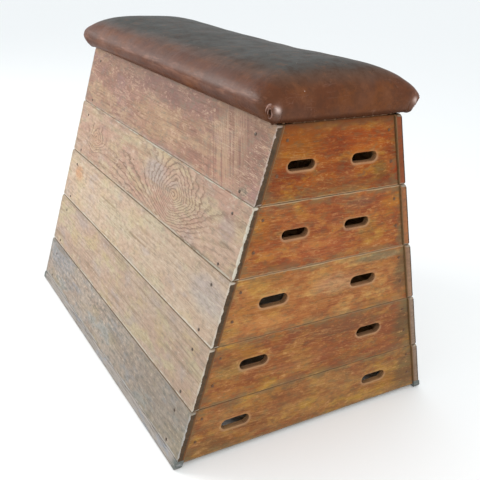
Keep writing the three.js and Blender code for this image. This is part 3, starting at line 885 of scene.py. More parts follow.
# %% [markdown]
# ## The leather over its stuffing
#
# The lid is a deck of boards with a thick pad on it and one hide of leather pulled over both, rolled
# under the overhang and nailed to the deck's edge. Its form can't be got from a box with round edges:
# the hide is tight along the roll, slack on top, and stands up a little where the stuffing has been
# pushed towards the ends.
#
# The solid of the leather has that form in large flat patches. So its outer skin is taken, smoothed by
# subdivision, closed underneath, and cut anew into small even squares by a voxel remesh. Then cloth is
# blown up from inside for twenty frames, with the underside held where the nails hold it. No point may
# move far, so that the pad keeps its size.

# %% The hide, from the solid's outer skin
swell_limit = 4.5 * millimetre
draw_limit = 0.8 * millimetre  # how far the cloth may pull a point inwards
swell_frames = 20
pinned_height = 9 * millimetre  # the lowest part of the roll, which the tacks hold
hide_square = 6.5 * millimetre
hide_thickness = 2.5 * millimetre
smoothing_loss = 2.2 * millimetre  # given back along the roll, which smoothing draws in

pad_low, pad_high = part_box("pad_cover")
core_reach = Vector((pad_high.x - 0.10, pad_high.y - 0.13, 0))  # half the length and width of the core
core_height = pad_low.z + 47 * millimetre
inner_rim_height = 0.0026  # in metres; upright faces up to here are the inside of the solid's rim


def outwards(place, normal):
    """How far a face looks away from the pad's core, a flat strip in the middle of it."""
    core = Vector((max(-core_reach.x, min(core_reach.x, place.x)),
                   max(-core_reach.y, min(core_reach.y, place.y)), core_height))
    return (place - core).dot(normal)


hide = copy_of("pad_cover", "leather_top")
open_piece(hide)
inner_faces = select_where(hide, "faces", lambda face: outwards(face.calc_center_median(), face.normal) < 0
                           or abs(face.normal.z) < 0.5
                           and face.calc_center_median().z < pad_low.z + inner_rim_height)
bpy.ops.mesh.delete(type="FACE")
bpy.ops.mesh.select_all(action="SELECT")
bpy.ops.mesh.tris_convert_to_quads(face_threshold=math.radians(60), shape_threshold=math.radians(90))
bpy.ops.mesh.select_mode(type="EDGE")
bpy.ops.mesh.select_all(action="DESELECT")
bpy.ops.mesh.select_non_manifold(extend=False, use_multi_face=False, use_non_contiguous=False,
                                 use_verts=False)
bpy.ops.transform.edge_crease(value=1.0)
bpy.ops.mesh.edge_face_add()
close_piece()
apply_modifier(hide, "smooth patches", "SUBSURF", levels=2, render_levels=2)
hide.data.remesh_voxel_size = hide_square
pick(hide)
bpy.ops.object.voxel_remesh()
open_piece(hide)
select_where(hide, "faces", lambda face: face.calc_center_median().z > pad_low.z + pinned_height)
bpy.ops.transform.shrink_fatten(value=smoothing_loss)
close_piece()
print("inner faces taken off:", inner_faces, "- squares in the hide:", faces_in(hide))

# %% Blow it up from inside
def places_of(piece):
    """All of a piece's points, as rows of x, y and z."""
    places = np.empty(len(piece.data.vertices) * 3)
    piece.data.vertices.foreach_get("co", places)
    return places.reshape(-1, 3)


def put_places(piece, places):
    piece.data.vertices.foreach_set("co", places.ravel())
    piece.data.update()


def normals_of(piece):
    normals = np.empty(len(piece.data.vertices) * 3)
    piece.data.vertices.foreach_get("normal", normals)
    return normals.reshape(-1, 3)


def swell(piece, held_below, limit, inward_limit):
    """Cloth with pressure inside, held below a height; no point ends further out or in than the limits."""
    before = places_of(piece)
    outward = normals_of(piece)
    held = piece.vertex_groups.new(name="held")
    held.add([int(index) for index in np.flatnonzero(before[:, 2] < held_below)], 1.0, "REPLACE")
    pick(piece)
    cloth = piece.modifiers.new("swelling", "CLOTH")
    cloth.settings.quality = 4
    cloth.settings.mass = 0.3
    cloth.settings.tension_stiffness = 20
    cloth.settings.compression_stiffness = 20
    cloth.settings.bending_stiffness = 1.0
    cloth.settings.vertex_group_mass = "held"
    cloth.settings.use_pressure = True
    cloth.settings.uniform_pressure_force = 4
    cloth.settings.effector_weights.gravity = 0
    cloth.collision_settings.use_collision = False
    cloth.point_cache.frame_start = 1
    cloth.point_cache.frame_end = swell_frames
    for frame_number in range(1, swell_frames + 1):
        bpy.context.scene.frame_set(frame_number)
    bpy.ops.object.modifier_apply(modifier=cloth.name)
    bpy.context.scene.frame_set(1)
    move = places_of(piece) - before
    out = np.sum(move * outward, axis=1, keepdims=True)
    move += outward * (np.clip(out, -inward_limit, limit) - out)
    distance = np.linalg.norm(move, axis=1, keepdims=True)
    put_places(piece, before + move * np.minimum(1.0, limit / np.maximum(distance, 1e-9)))
    return float(out.max()), float(out.min())


print("swelling by", swell(hide, pad_low.z + pinned_height, swell_limit, draw_limit))
print("hide reaches from", [round(v, 4) for v in places_of(hide).min(0)], "to",
      [round(v, 4) for v in places_of(hide).max(0)])

# %% [markdown]
# ## Packed ends, and corners folded in
#
# The ends of the real pad are blunter than a smooth cushion, because hair was packed hard into them
# before the hide was closed. So the shoulder of each corner is pushed out, and the crown is raised a
# little just before the ends. The leather is also drawn tight under the roll, which lifts its underside
# along the long sides.
#
# Leather can't follow a round corner without gathering either. On the real lid the spare leather of
# each corner is tucked into one narrow mouth, halfway round. Ring-shaped folds lie round the mouth like
# lips, a round bulge stands beside it towards the end, and under the bulge the leather is gathered in
# small pleats and hangs a little lower, like a tongue. Sculpting these with a brush would be the usual
# way. Here the same moves are written down: the skin round each corner is cut finer, and its points are
# pushed in or out by how far they are round the corner and how high up.

# %% Pack the ends
corner_radius = 38 * millimetre
corner_middle = Vector((pad_high.x - corner_radius, pad_high.y - corner_radius, 0))
rim_height = pad_low.z
raised_crowns = ((-0.665, 0.055, 6), (0.650, 0.060, 3))  # place along the pad, width, and rise in millimetres
rim_lift = 2.5 * millimetre
rim_end_lift = 0.8 * millimetre
rim_reach = 26 * millimetre
end_rim_start, end_rim_fade = 0.640, 0.040  # from here to the ends the rim is lifted less
packed_corners = (  # side in x and y, then how far the shoulder, the skirt and the rim move, in millimetres
    (1, -1, 3, 3, 0), (1, 1, 7, 4, 6), (-1, -1, 10, 3, 0), (-1, 1, 7, 2, 2),
)


def hill(value, at, width):
    """1 at a place, fading to 0 over a width."""
    return np.exp(-((value - at) / width) ** 2)


def heights_of(places):
    """Heights above the rim, in millimetres."""
    return (places[:, 2] - rim_height) / millimetre


def pack_corner(side_x, side_y, shoulder, skirt, tuck):
    """Push one corner outwards at its shoulder and below, and inwards at its rim, by so many millimetres."""
    places = places_of(hide)
    height = heights_of(places)
    near_end = np.clip((places[:, 0] * side_x - corner_middle.x) / 0.13 + 1, 0, 1)
    near_side = np.clip((places[:, 1] * side_y - corner_middle.y) / 0.11 + 1, 0, 1)
    core = np.stack([np.clip(places[:, 0], -core_reach.x, core_reach.x),
                     np.clip(places[:, 1], -core_reach.y, core_reach.y),
                     np.full(len(places), core_height)], axis=1)
    outward = places - core
    outward /= np.linalg.norm(outward, axis=1, keepdims=True)
    push = (shoulder * hill(height, 68, 20) + skirt * hill(height, 14, 9) * np.clip(height / 5, 0, 1)
            - tuck * hill(height, 0, 6))
    push *= (near_end * near_side) ** 1.5
    put_places(hide, places + outward * push[:, None] * millimetre)


def raise_end(at, width, rise):
    """Lift the crown just before an end."""
    places = places_of(hide)
    lift = rise * hill(places[:, 0], at, width) * np.clip((heights_of(places) - 45) / 25, 0, 1)
    places[:, 2] += lift
    put_places(hide, places)


def lift_rim(lift, end_lift, reach):
    """Raise the underside of the roll: fully at the rim, and not at all from this height on."""
    places = places_of(hide)
    at_end = np.clip((abs(places[:, 0]) - end_rim_start) / end_rim_fade, 0, 1)
    fade = np.clip(1 - heights_of(places) * millimetre / reach, 0, 1)
    places[:, 2] += (lift + (end_lift - lift) * at_end) * fade
    put_places(hide, places)


for at, width, rise in raised_crowns:
    raise_end(at, width, rise * millimetre)
lift_rim(rim_lift, rim_end_lift, rim_reach)
for packing in packed_corners:
    pack_corner(*packing)
print("packed hide reaches", [round(v, 4) for v in places_of(hide).max(0)])

# %% Sculpt the corners
corner_height = 70 * millimetre  # above the rim, up to where the skin is cut finer
finer_along, finer_across = 24 * millimetre, 44 * millimetre  # from this far before the corner
mouth_height = 37  # from here on in millimetres, as are all distances that the folds are made with
slit_half = 10
bulge_after, crease_after, gather_after = 20, 34, 44  # how far past the mouth, towards the end
tongue_drop = 5.5  # how much lower the leather hangs under the bulge


def round_corner(places, side_x, side_y):
    """How far each point is past the corner on both sides, and its distance round it from the long side."""
    past_x = (places[:, 0] * side_x - corner_middle.x) / millimetre
    past_y = (places[:, 1] * side_y - corner_middle.y) / millimetre
    turn = np.arctan2(np.maximum(past_x, 0), np.maximum(past_y, 0))
    return past_x, past_y, corner_radius / millimetre * turn + np.minimum(past_x, 0) - np.minimum(past_y, 0)


def pleat(side_x, side_y, mouth, strength):
    """Push one corner into its folds, with the mouth at this distance round it."""
    places = places_of(hide)
    past_x, past_y, along = round_corner(places, side_x, side_y)
    height = heights_of(places)
    to_top = np.hypot(along - mouth, height - mouth_height - slit_half)
    to_bottom = np.hypot(along - mouth, height - mouth_height + slit_half)
    from_slit = np.sqrt(np.maximum(((to_top + to_bottom) / 2) ** 2 - slit_half ** 2, 0))
    near_mouth = np.clip((mouth + 7 - along) / 6, 0, 1)
    folds = (-7.0 * hill(from_slit, 0, 2.1) + 2.2 * hill(from_slit, 5.0, 1.6)
             + (-2.4 * hill(from_slit, 8.2, 1.4) + 2.0 * hill(from_slit, 11.2, 1.5)
                - 1.4 * hill(from_slit, 14.2, 1.6)) * near_mouth)
    bulge = 7.5 * hill(along, mouth + bulge_after, 9.0) * hill(height, 34, 14)
    crease_at, gather_at = mouth + crease_after, mouth + gather_after
    crease = (1.4 * hill(along, crease_at - 3.5, 1.8) - 2.6 * hill(along, crease_at, 2.2))
    crease = crease * hill(height, 28, 13) - 1.8 * hill(along, gather_at, 11) * hill(height, 20, 14)
    gathers = 2.2 * np.sin(along * 0.75) * hill(along, gather_at, 16) * hill(height, 7, 9)
    fade = (np.clip((past_x + 26) / 12, 0, 1) * np.clip((past_y + 42) / 14, 0, 1)
            * np.clip((66 - height) / 10, 0, 1) * np.clip(height / 4, 0, 1))
    push = (folds + bulge + crease + gathers) * fade * strength * millimetre
    outside = np.clip(np.maximum(past_y + 8, past_x - 14) / 6, 0, 1)
    tongue = tongue_drop * hill(along, mouth + 12, 13) * np.clip((30 - height) / 16, 0, 1) * outside
    places[:, 2] -= tongue * strength * millimetre
    reach = np.maximum(np.hypot(np.maximum(past_x, 0), np.maximum(past_y, 0)), 1e-6)
    places[:, 0] += np.maximum(past_x, 0) / reach * side_x * push
    places[:, 1] += np.maximum(past_y, 0) / reach * side_y * push
    put_places(hide, places)


folded_corners = ((1, -1, 31.5, 1.0), (1, 1, 33.0, 0.9), (-1, -1, 30.5, 0.9), (-1, 1, 34.0, 1.0))
open_piece(hide)
corner_faces = select_where(hide, "faces", lambda face: (
    abs(face.calc_center_median().x) > corner_middle.x - finer_along
    and abs(face.calc_center_median().y) > corner_middle.y - finer_across
    and face.calc_center_median().z < rim_height + corner_height))
bpy.ops.mesh.subdivide(number_cuts=3, smoothness=0)
close_piece()
middles = np.array([face.center for face in hide.data.polygons])
by_a_mouth = np.zeros(len(middles), dtype=bool)
for side_x, side_y, mouth, _ in folded_corners:
    past_x, past_y, along = round_corner(middles, side_x, side_y)
    by_a_mouth |= ((past_x > 2) & (past_y > 2) & (abs(along - mouth) < 13)
                   & (abs(heights_of(middles) - mouth_height) < 22))
open_piece(hide)
select_where(hide, "faces", lambda face: by_a_mouth[face.index])
bpy.ops.mesh.subdivide(number_cuts=1, smoothness=0)
close_piece()
for side_x, side_y, mouth, strength in folded_corners:
    pleat(side_x, side_y, mouth, strength)
print("cut finer at the corners:", corner_faces, "squares, now", faces_in(hide))

# %% [markdown]
# ## Open the hide underneath and give it its thickness
#
# Voxel remesh needs a closed body, so the hide had a floor until now. The floor goes, up to the deck's
# edge where the leather is nailed, and Solidify adds 2.5 mm of leather on the inside. A slight
# unevenness on a scale of a hand's width comes before it, from the lumps of old stuffing.

# %% Thickness
floor_top = 10 * millimetre  # above the rim, as is the next height
roll_top = 12 * millimetre  # from here on the leather is lumpy
lump_size = 130 * millimetre
lump_height = 3.2 * millimetre
deck_inset = 3 * millimetre
deck_corner = 57 * millimetre
deck_ends = [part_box(f"deck_board_{number}")[1] for number in (1, 2, 3)]
deck_reach = Vector((deck_ends[0].x, max(end.y for end in deck_ends)))


def under_deck(place):
    """Whether a place lies inside the deck's outline, a rectangle with round corners."""
    over = [abs(place[axis]) - (deck_reach[axis] - deck_inset - deck_corner) for axis in (0, 1)]
    beyond = math.hypot(max(over[0], 0), max(over[1], 0)) + min(max(over), 0)
    return beyond < deck_corner


open_piece(hide)
floor_faces = select_where(hide, "faces", lambda face: face.normal.z < -0.5
                           and face.calc_center_median().z < rim_height + floor_top
                           and under_deck(face.calc_center_median()))
bpy.ops.mesh.delete(type="FACE")
close_piece()

lumps = bpy.data.textures.new("lumps", "CLOUDS")
lumps.noise_scale = lump_size
lumps.noise_depth = 1
upper = hide.vertex_groups.new(name="above the roll")
upper.add([vert.index for vert in hide.data.vertices if vert.co.z > rim_height + roll_top], 1.0, "REPLACE")
apply_modifier(hide, "lumps", "DISPLACE", texture=lumps, texture_coords="GLOBAL",
               strength=lump_height, mid_level=0.5, vertex_group="above the roll")
apply_modifier(hide, "leather thickness", "SOLIDIFY", thickness=hide_thickness, offset=-1, use_rim=True)
hide.data.polygons.foreach_set("use_smooth", [True] * faces_in(hide))
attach(hide, "top_tier")
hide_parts("pad_cover")
print("floor taken out:", floor_faces, "faces; hide has", faces_in(hide), "faces and reaches",
      [round(v, 4) for v in places_of(hide).max(0)])

# %% [markdown]
# ## Stuffing
#
# Under the leather lies a thick mat of hair and felt. No one sees it while the lid is whole, but the
# library keeps pieces apart, so it gets its own soft form. It starts as the solid, drawn in a little so
# that the hide's folds have room, and its facets are rounded off.

# %% Stuffing
stuffing_draw_in = 2.5 * millimetre
stuffing_square = 9 * millimetre
stuffing = copy_of("pad_stuffing", "stuffing_mat")
open_piece(stuffing)
bpy.ops.mesh.select_all(action="SELECT")
bpy.ops.transform.shrink_fatten(value=-stuffing_draw_in)
close_piece()
stuffing.data.remesh_voxel_size = stuffing_square
pick(stuffing)
bpy.ops.object.voxel_remesh()
open_piece(stuffing, "VERT")
bpy.ops.mesh.select_all(action="SELECT")
bpy.ops.mesh.vertices_smooth(factor=0.5, repeat=6)
close_piece()
stuffing.data.polygons.foreach_set("use_smooth", [True] * faces_in(stuffing))
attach(stuffing, "top_tier")
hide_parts("pad_stuffing")
print("stuffing:", faces_in(stuffing), "faces")

# %% [markdown]
# ## Runners
#
# The base tier doesn't stand on its planks. A rail under each long side takes the wear from floors and
# from being dragged, and it can be changed. It gets the same treatment as a plank, with rounder edges.

# %% Runners
runner_edge_width = 5 * millimetre
runners = []
for side in ("near", "far"):
    rail = copy_of(f"{side}_runner", f"{side}_rail")
    flatten_faces(rail)
    low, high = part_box(f"{side}_runner")
    slice_across(rail, 0, bands_between(low.x, high.x, band_length))
    finish_plank(rail, f"{side}_runner", "base_tier", edge_width=runner_edge_width)
    runners.append(rail)
print("runners:", [faces_in(rail) for rail in runners], "faces")

# %% [markdown]
# ## Screws
#
# Slotted iron screws hold the boards to the corner posts. They show as small dark dots, but the same
# dots are what tells the eye how large the box is. One head is turned, domed and slotted with a saw cut,
# then set into the boards as often as it is needed, each with its slot at another angle. All the heads
# of a tier are one piece, as they never move apart.

# %% One screw head
screw_radius = 4.3 * millimetre
screw_proud = 0.7 * millimetre
screw_sunk = 2.4 * millimetre
screw_slot = 0.9 * millimetre

bpy.ops.mesh.primitive_cylinder_add(vertices=18, radius=screw_radius, depth=screw_sunk,
                                    location=(0, 0, -screw_sunk / 2))
screw_model = bpy.context.active_object
screw_model.name = "screw_head"
open_piece(screw_model)
select_where(screw_model, "faces", lambda face: face.normal.z > 0.9)
for inset, rise in ((0.9, 0.35), (1.4, 0.25), (1.2, 0.10)):
    bpy.ops.mesh.inset(thickness=inset * millimetre)
    bpy.ops.transform.translate(value=(0, 0, rise * millimetre))
close_piece()
bpy.ops.mesh.primitive_cube_add(size=1, location=(0, 0, screw_proud))
saw = bpy.context.active_object
saw.scale = (screw_slot, 4 * screw_radius, 2.2 * screw_proud)
pick(saw)
bpy.ops.object.transform_apply(location=True, rotation=True, scale=True)
apply_modifier(screw_model, "saw cut", "BOOLEAN", object=saw, operation="DIFFERENCE", solver="EXACT")
bpy.data.objects.remove(saw, do_unlink=True)
print("a screw head has", faces_in(screw_model), "faces")

# %% Set the screws
def set_heads(model, spots, name, body):
    """Copies of a small head, each at a place, facing outwards, turned by an angle; joined as one piece."""
    heads = []
    for place, outward, spin in spots:
        mesh = model.data.copy()
        facing = outward.to_track_quat("Z", "X").to_matrix().to_4x4()
        mesh.transform(Matrix.Translation(place) @ facing @ Matrix.Rotation(spin, 4, "Z"))
        head = bpy.data.objects.new(name, mesh)
        bpy.context.scene.collection.objects.link(head)
        heads.append(head)
    pick(*heads)
    bpy.ops.object.join()
    joined = bpy.context.active_object
    joined.name = name
    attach(joined, body)
    return joined


screws = []
spin_step = math.radians(67)
for tier in tiers:
    spots = []
    for face in turns:
        board = boards[tier, face]
        back = turning(board.turn).transposed()
        for height, reach in screw_places(face, board):
            for along in (-reach, reach):
                place = back @ Vector((along, board.low.y, height))
                spots.append((place, back @ Vector((0, -1, 0)), spin_step * len(spots)))
    screws.append(set_heads(screw_model, spots, f"{tier}_screws", tier))
bpy.data.objects.remove(screw_model, do_unlink=True)
print("screws in each tier:", len(spots), "-", [faces_in(piece) for piece in screws], "faces")

# %% [markdown]
# ## Tacks under the overhang
#
# The hide is nailed up under the overhang with domed tacks, in a row just outside the frame. The picture
# doesn't show them, but anyone who lifts the lid off sees them. Each is pressed against the leather: a
# ray is sent up from below, and where it meets the hide the tack is set, facing the way the leather does.

# %% Tacks
tack_radius = 4.2 * millimetre
tack_spacing = 32 * millimetre
tack_sunk = 1.1 * millimetre  # pressed into the leather
side_tack_clearance = 8 * millimetre  # outside the frame's top outline
end_tack_clearance = 2 * millimetre
side_board_across = 21 * millimetre  # a side board's top edge, measured across the box
tack_corner_gap = 20 * millimetre  # no tack stands nearer to a corner
tack_search = 30 * millimetre  # how far above and below the rim the leather is looked for

bpy.ops.mesh.primitive_uv_sphere_add(segments=12, ring_count=6, radius=tack_radius)
tack_model = bpy.context.active_object
tack_model.name = "tack"
open_piece(tack_model)
bpy.ops.mesh.select_all(action="SELECT")
bpy.ops.mesh.bisect(plane_co=(0, 0, 0), plane_no=(0, 0, 1), clear_inner=True, use_fill=True)
bpy.ops.mesh.select_all(action="SELECT")
bpy.ops.transform.resize(value=(1, 1, 0.5))
close_piece()

frame_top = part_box("top_tier_near_side_board")
half_length = frame_top[1].x + end_tack_clearance
half_width = abs(frame_top[1].y) + side_board_across + side_tack_clearance


def along_outline(step):
    """Points with even steps round the frame's top."""
    points = []
    for reach, other, turned in ((half_length, half_width, False), (half_width, half_length, True)):
        count = int(2 * (reach - tack_corner_gap) / step)
        for place in range(count + 1):
            along = -reach + tack_corner_gap + (2 * reach - 2 * tack_corner_gap) * place / count
            for side in (-other, other):
                points.append((side, along) if turned else (along, side))
    return points


spots = []
for x, y in along_outline(tack_spacing):
    hit, place, normal, _ = hide.ray_cast(Vector((x, y, rim_height - tack_search)), Vector((0, 0, 1)))
    if hit and place.z < rim_height + tack_search:
        spots.append((place - normal * tack_sunk, normal, 0.0))
tacks = set_heads(tack_model, spots, "upholstery_tacks", "top_tier")
tacks.data.polygons.foreach_set("use_smooth", [True] * faces_in(tacks))
bpy.data.objects.remove(tack_model, do_unlink=True)
print("tacks:", len(spots))

# %% [markdown]
# ## Leather
#
# The hide was chestnut brown. On top, most of all along the middle, it is painted grey-green: partly
# leather greyed by hands, chalk and sun, and partly painted reflection of the sky, as its own shine is
# nearly off there. Where it hangs down it is warmer, and its lowest edge is painted darker as shade,
# most of all along the front. At each folded corner the mouth is painted dark as shade, the lips round
# it are rubbed pale, with a painted highlight on their upper side, and the top of the bulge has a
# painted highlight. Close to, the leather has pebble grain, fine creases that join up like a net, and a
# few scratches and specks. The grain is cells about a millimetre wide, pressed in by a twentieth of
# that, which the eye takes as a soft shine rather than as lumps. How strong the shine is varies too:
# weak on the crown, at the front and at the rim, and stronger along the roll and on the bulges.

# %% Leather finish
def finish_leather():
    leather = Finish("old_leather")
    along, across, up = leather.axes()
    height = up - rim_height

    patch = leather.clouds((0.24, 0.16, 0.12), 2.0, detail=4.0, roughness=0.6)
    other_patch = leather.clouds((0.12, 0.09, 0.07), 5.0, detail=4.0, roughness=0.65)
    stain = leather.clouds((0.36, 0.22, 0.2), 9.0, detail=3.0, roughness=0.6)
    blotch = leather.clouds((0.035, 0.03, 0.03), 15.0, detail=4.0, roughness=0.7)
    colour = leather.mix("#522b18", "#643719", patch.ramp(0.42, 0.60))
    colour = leather.mix(colour, "#44271a", other_patch.ramp(0.48, 0.62) * 0.6)
    colour = leather.mix(colour, "#573a30", stain.ramp(0.46, 0.62) * 0.45)
    crown = (height + stain * 0.03).ramp(0.098, 0.136)
    # Grey-green on top: partly greyed leather, partly painted reflection of the sky, as the shine is nearly
    # off there
    greyed_crown_and_sky_sheen = leather.mix("#53433a", "#454947", (height + patch * 0.04 + along * -0.02).ramp(0.118, 0.148))
    colour = leather.mix(colour, greyed_crown_and_sky_sheen, crown * 0.9)
    colour = leather.mix(colour, "#3a2318", blotch.ramp(0.50, 0.62) * 0.35)
    colour = leather.mix(colour, "#7c5036", blotch.ramp(0.46, 0.34) * 0.22)
    colour = leather.mix(colour, "#6b4d3c", along.ramp(0.620, 0.680) * 0.20)
    on_roll = height.ramp(0.030, 0.045) * height.ramp(0.100, 0.080) * along.ramp(0.680, 0.640)
    colour = leather.mix(colour, "#7d4c2d", on_roll * 0.10)
    at_front = along.ramp(0.680, 0.694)
    rim = (height + blotch * 0.006).ramp(0.016, 0.008)
    colour = leather.mix(colour, "#6b4a2c", rim * (at_front * -0.5 + 0.5))
    # Painted shade on the lowest part of the front, where the roll turns under
    colour = leather.mix(colour, "#3d1f0d", (height + blotch * 0.010).ramp(0.028, 0.016) * at_front * 0.8)

    grain = leather.cells((0.0013, 0.0013, 0.0013), 1.0)
    crease = leather.cells((0.016, 0.012, 0.012), 3.0, feature="DISTANCE_TO_EDGE")
    crease = crease.ramp(0.035, 0.004) * leather.clouds((0.09, 0.06, 0.06), 4.0).ramp(0.50, 0.66)
    wrinkle = leather.clouds((0.020, 0.055, 0.03), 6.0, detail=3.0, roughness=0.6, warp=0.6)
    scratch = (leather.clouds((0.16, 0.012, 0.02), 7.0, detail=1.0).thin_line(0.5, 0.010)
               .at_least(leather.clouds((0.014, 0.12, 0.03), 8.0, detail=1.0).thin_line(0.48, 0.010)))
    scratch = scratch * leather.clouds((0.10, 0.10, 0.10), 11.0).ramp(0.50, 0.66)
    speck = leather.cells((0.05, 0.05, 0.05), 12.0).ramp(0.035, 0.015)
    colour = leather.mix(colour, "#2c1d17", crease * 0.5)
    colour = leather.mix(colour, "#8c6a5c", scratch * 0.22)
    colour = leather.mix(colour, "#c9b8ac", speck * 0.7)
    edge_wear = leather.clouds((0.10, 0.02, 0.012), 13.0, detail=4.0, roughness=0.65).ramp(0.5, 0.66)
    edge_wear = edge_wear * height.ramp(0.035, 0.05) * height.ramp(0.085, 0.06) * abs(across).ramp(0.20, 0.24)
    colour = leather.mix(colour, "#8a5f4c", edge_wear * 0.5)
    rubbed = None
    for side_x, side_y, mouth, _ in folded_corners:
        turn = mouth * millimetre / corner_radius
        reach = corner_radius - 0.002
        apart = (along - (corner_middle.x + reach * math.sin(turn)) * side_x) / 0.0060
        beside = (across - (corner_middle.y + reach * math.cos(turn)) * side_y) / 0.0060
        above = (height - mouth_height * millimetre) / 0.0150
        from_mouth = (apart * apart + beside * beside + above * above).math("SQRT")
        # Pale rings round the mouth: rubbed leather, with a painted highlight on the upper side of the outer
        # ring
        lip_wear_and_highlight = from_mouth.thin_line(1.05, 0.24) * 0.35
        outer = (apart * apart * 0.30 + beside * beside * 0.30 + above * above * 0.56).math("SQRT")
        outer_lip_highlight = outer.thin_line(1.0, 0.14) * above.ramp(-0.2, 0.5) * (apart * side_x).ramp(0.6, -0.2)
        lip_wear_and_highlight = lip_wear_and_highlight.at_least(outer_lip_highlight * 0.45)
        colour = leather.mix(colour, "#bb9a90", lip_wear_and_highlight)
        # Painted shade in the mouth of the fold
        colour = leather.mix(colour, "#2a1710", from_mouth.ramp(0.75, 0.40) * 0.85)
        turn += bulge_after * millimetre / corner_radius
        apart = (along - (corner_middle.x + corner_radius * math.sin(turn)) * side_x) / 0.016
        beside = (across - (corner_middle.y + corner_radius * math.cos(turn)) * side_y) / 0.016
        above = (height - mouth_height * millimetre) / 0.020
        ball = (-(apart * apart + beside * beside + above * above)).math("EXPONENT")
        # Painted highlight on the top of the bulge
        painted_bulge_highlight = (above - 0.30) * 2.0
        painted_bulge_highlight = apart * apart * 6.0 + beside * beside * 6.0 + painted_bulge_highlight * painted_bulge_highlight * 2.0
        painted_bulge_highlight = (-painted_bulge_highlight).math("EXPONENT")
        colour = leather.mix(colour, "#e0c8be", painted_bulge_highlight * 0.72)
        rubbed = ball if rubbed is None else rubbed.at_least(ball)
    # Painted shade on the underside of the roll, at the rim
    painted_underside_shade = height.ramp(0.006, 0.001)
    colour = leather.mix(colour, "#2e1c14", painted_underside_shade * 0.6)

    worn = leather.clouds((0.07, 0.07, 0.05), 14.0, detail=3.0)
    roughness = worn * 0.2 + 0.28 + crease * 0.15 + scratch * 0.12 - rubbed * 0.16
    relief = (grain * 0.00006 - crease * 0.00035 + wrinkle * 0.0007 - scratch * 0.00010)
    dulled = (along.ramp(0.600, 0.680) * 0.13).at_least(height.ramp(0.060, 0.030) * 0.12)
    polished = height.ramp(0.045, 0.060) * height.ramp(0.095, 0.075) * along.ramp(0.680, 0.620)
    shine = (-dulled + 0.16) * (crown * -0.95 + 1.0) + polished * 0.10 + rubbed * 0.45
    specular = leather.shader.inputs["Specular IOR Level"]
    specular.default_value = 0.14  # the average, for a model that leaves the pattern out
    leather.feed(specular, shine)
    return leather.complete(colour, roughness, relief)


hide.data.materials.append(finish_leather())
print("leather has", len(hide.data.materials[0].node_tree.nodes), "nodes")

# %% [markdown]
# ## What doesn't show
#
# The posts, battens and deck were never varnished. They stay as they came, since their shapes are
# right, and get a raw pine finish: pale, with straight streaks along each piece. Posts stand up, so
# their streaks run up. Only the deck's edge can be seen, as a thin line under the leather, and it is
# painted dark brown there as the shade under the leather. A weld and a small bevel soften the sharp
# edges as the model is drawn, and leave the solids as they are.

# %% Raw pine
def finish_pine(name, grain_size, seed, tone, streak_tone, dark, edge=None):
    """Bare pine. Past an edge, given as a corner of the piece, it is painted dark brown, as shade under the
    leather.
    """
    pine = Finish(name)
    along, across, up = pine.axes()
    streak = pine.clouds(grain_size, seed, detail=3.0, roughness=0.6)
    fibre = pine.clouds([size * 0.25 for size in grain_size], seed + 1, detail=3.0, roughness=0.65)
    patch = pine.clouds((0.09, 0.09, 0.12), seed + 2, detail=4.0, roughness=0.6)
    ring = pine.clouds(grain_size, seed + 3, detail=1.0).math("MULTIPLY", 14.0).math("FRACT")
    late = ring.ramp(0.4, 0.9) * ring.ramp(1.0, 0.94)
    knot = pine.cells((0.16, 0.16, 0.16), seed + 4).ramp(0.09, 0.03)
    colour = pine.mix(tone, streak_tone, streak.ramp(0.4, 0.65))
    colour = pine.mix(colour, dark, late * 0.4)
    colour = pine.mix(colour, dark, fibre.ramp(0.5, 0.8) * 0.4)
    colour = pine.mix(colour, "#8b7a66", patch.ramp(0.5, 0.75) * 0.5)
    colour = pine.mix(colour, "#4a2f1d", knot * 0.8)
    if edge is not None:
        past_x = (abs(along) - (edge.x - deck_corner)).at_least(0.0)
        past_y = (abs(across) - (edge.y - deck_corner)).at_least(0.0)
        past_edge = (past_x * past_x + past_y * past_y).math("SQRT") - deck_corner
        # Painted shade: the deck's outer edge, seen under the leather, is darkened brown
        colour = pine.mix(colour, "#6b4226", past_edge.ramp(-0.012, -0.006) * 0.92)
    return pine.complete(colour, patch * 0.2 + 0.6, late * 0.00008 - fibre * 0.0002 - knot * 0.0003)


upright = (0.012, 0.012, 0.22)
lengthways = (0.26, 0.014, 0.014)
crossways = (0.014, 0.26, 0.014)
raw_pine = {
    "post": finish_pine("post_pine", upright, 1.0, "#c39b6c", "#ae8252", "#7d5633"),
    "deck_board": finish_pine("deck_pine", lengthways, 21.0, "#c8a274", "#b58b5b", "#80593a",
                              edge=deck_reach),
    "batten": finish_pine("batten_pine", crossways, 41.0, "#bf9767", "#a97e50", "#785232"),
}
softened = 0
for name, node in frame["nodes"].items():
    wood_kind = next((kind for kind in raw_pine if kind in name), None)
    if wood_kind:
        node.data.materials.clear()
        node.data.materials.append(raw_pine[wood_kind])
        weld = node.modifiers.new("weld", "WELD")
        weld.merge_threshold = merge_distance
        soften = node.modifiers.new("soft edges", "BEVEL")
        soften.width = 0.8 * millimetre
        soften.segments = 2
        soften.angle_limit = math.radians(40)
        softened += 1
print("raw pine on", softened, "pieces")

# %% [markdown]
# ## Small things
#
# Iron screws rust brown in their slots and stay dark on top, where varnish has run over them. The tacks
# are iron too, once lacquered. The stuffing is horsehair felt, so its pattern is a tangle of short
# threads. The runners have been dragged over floors, wetted by mops and trodden on, so their wood is
# grey and split, darker at its tips, and pale where it is freshly worn.

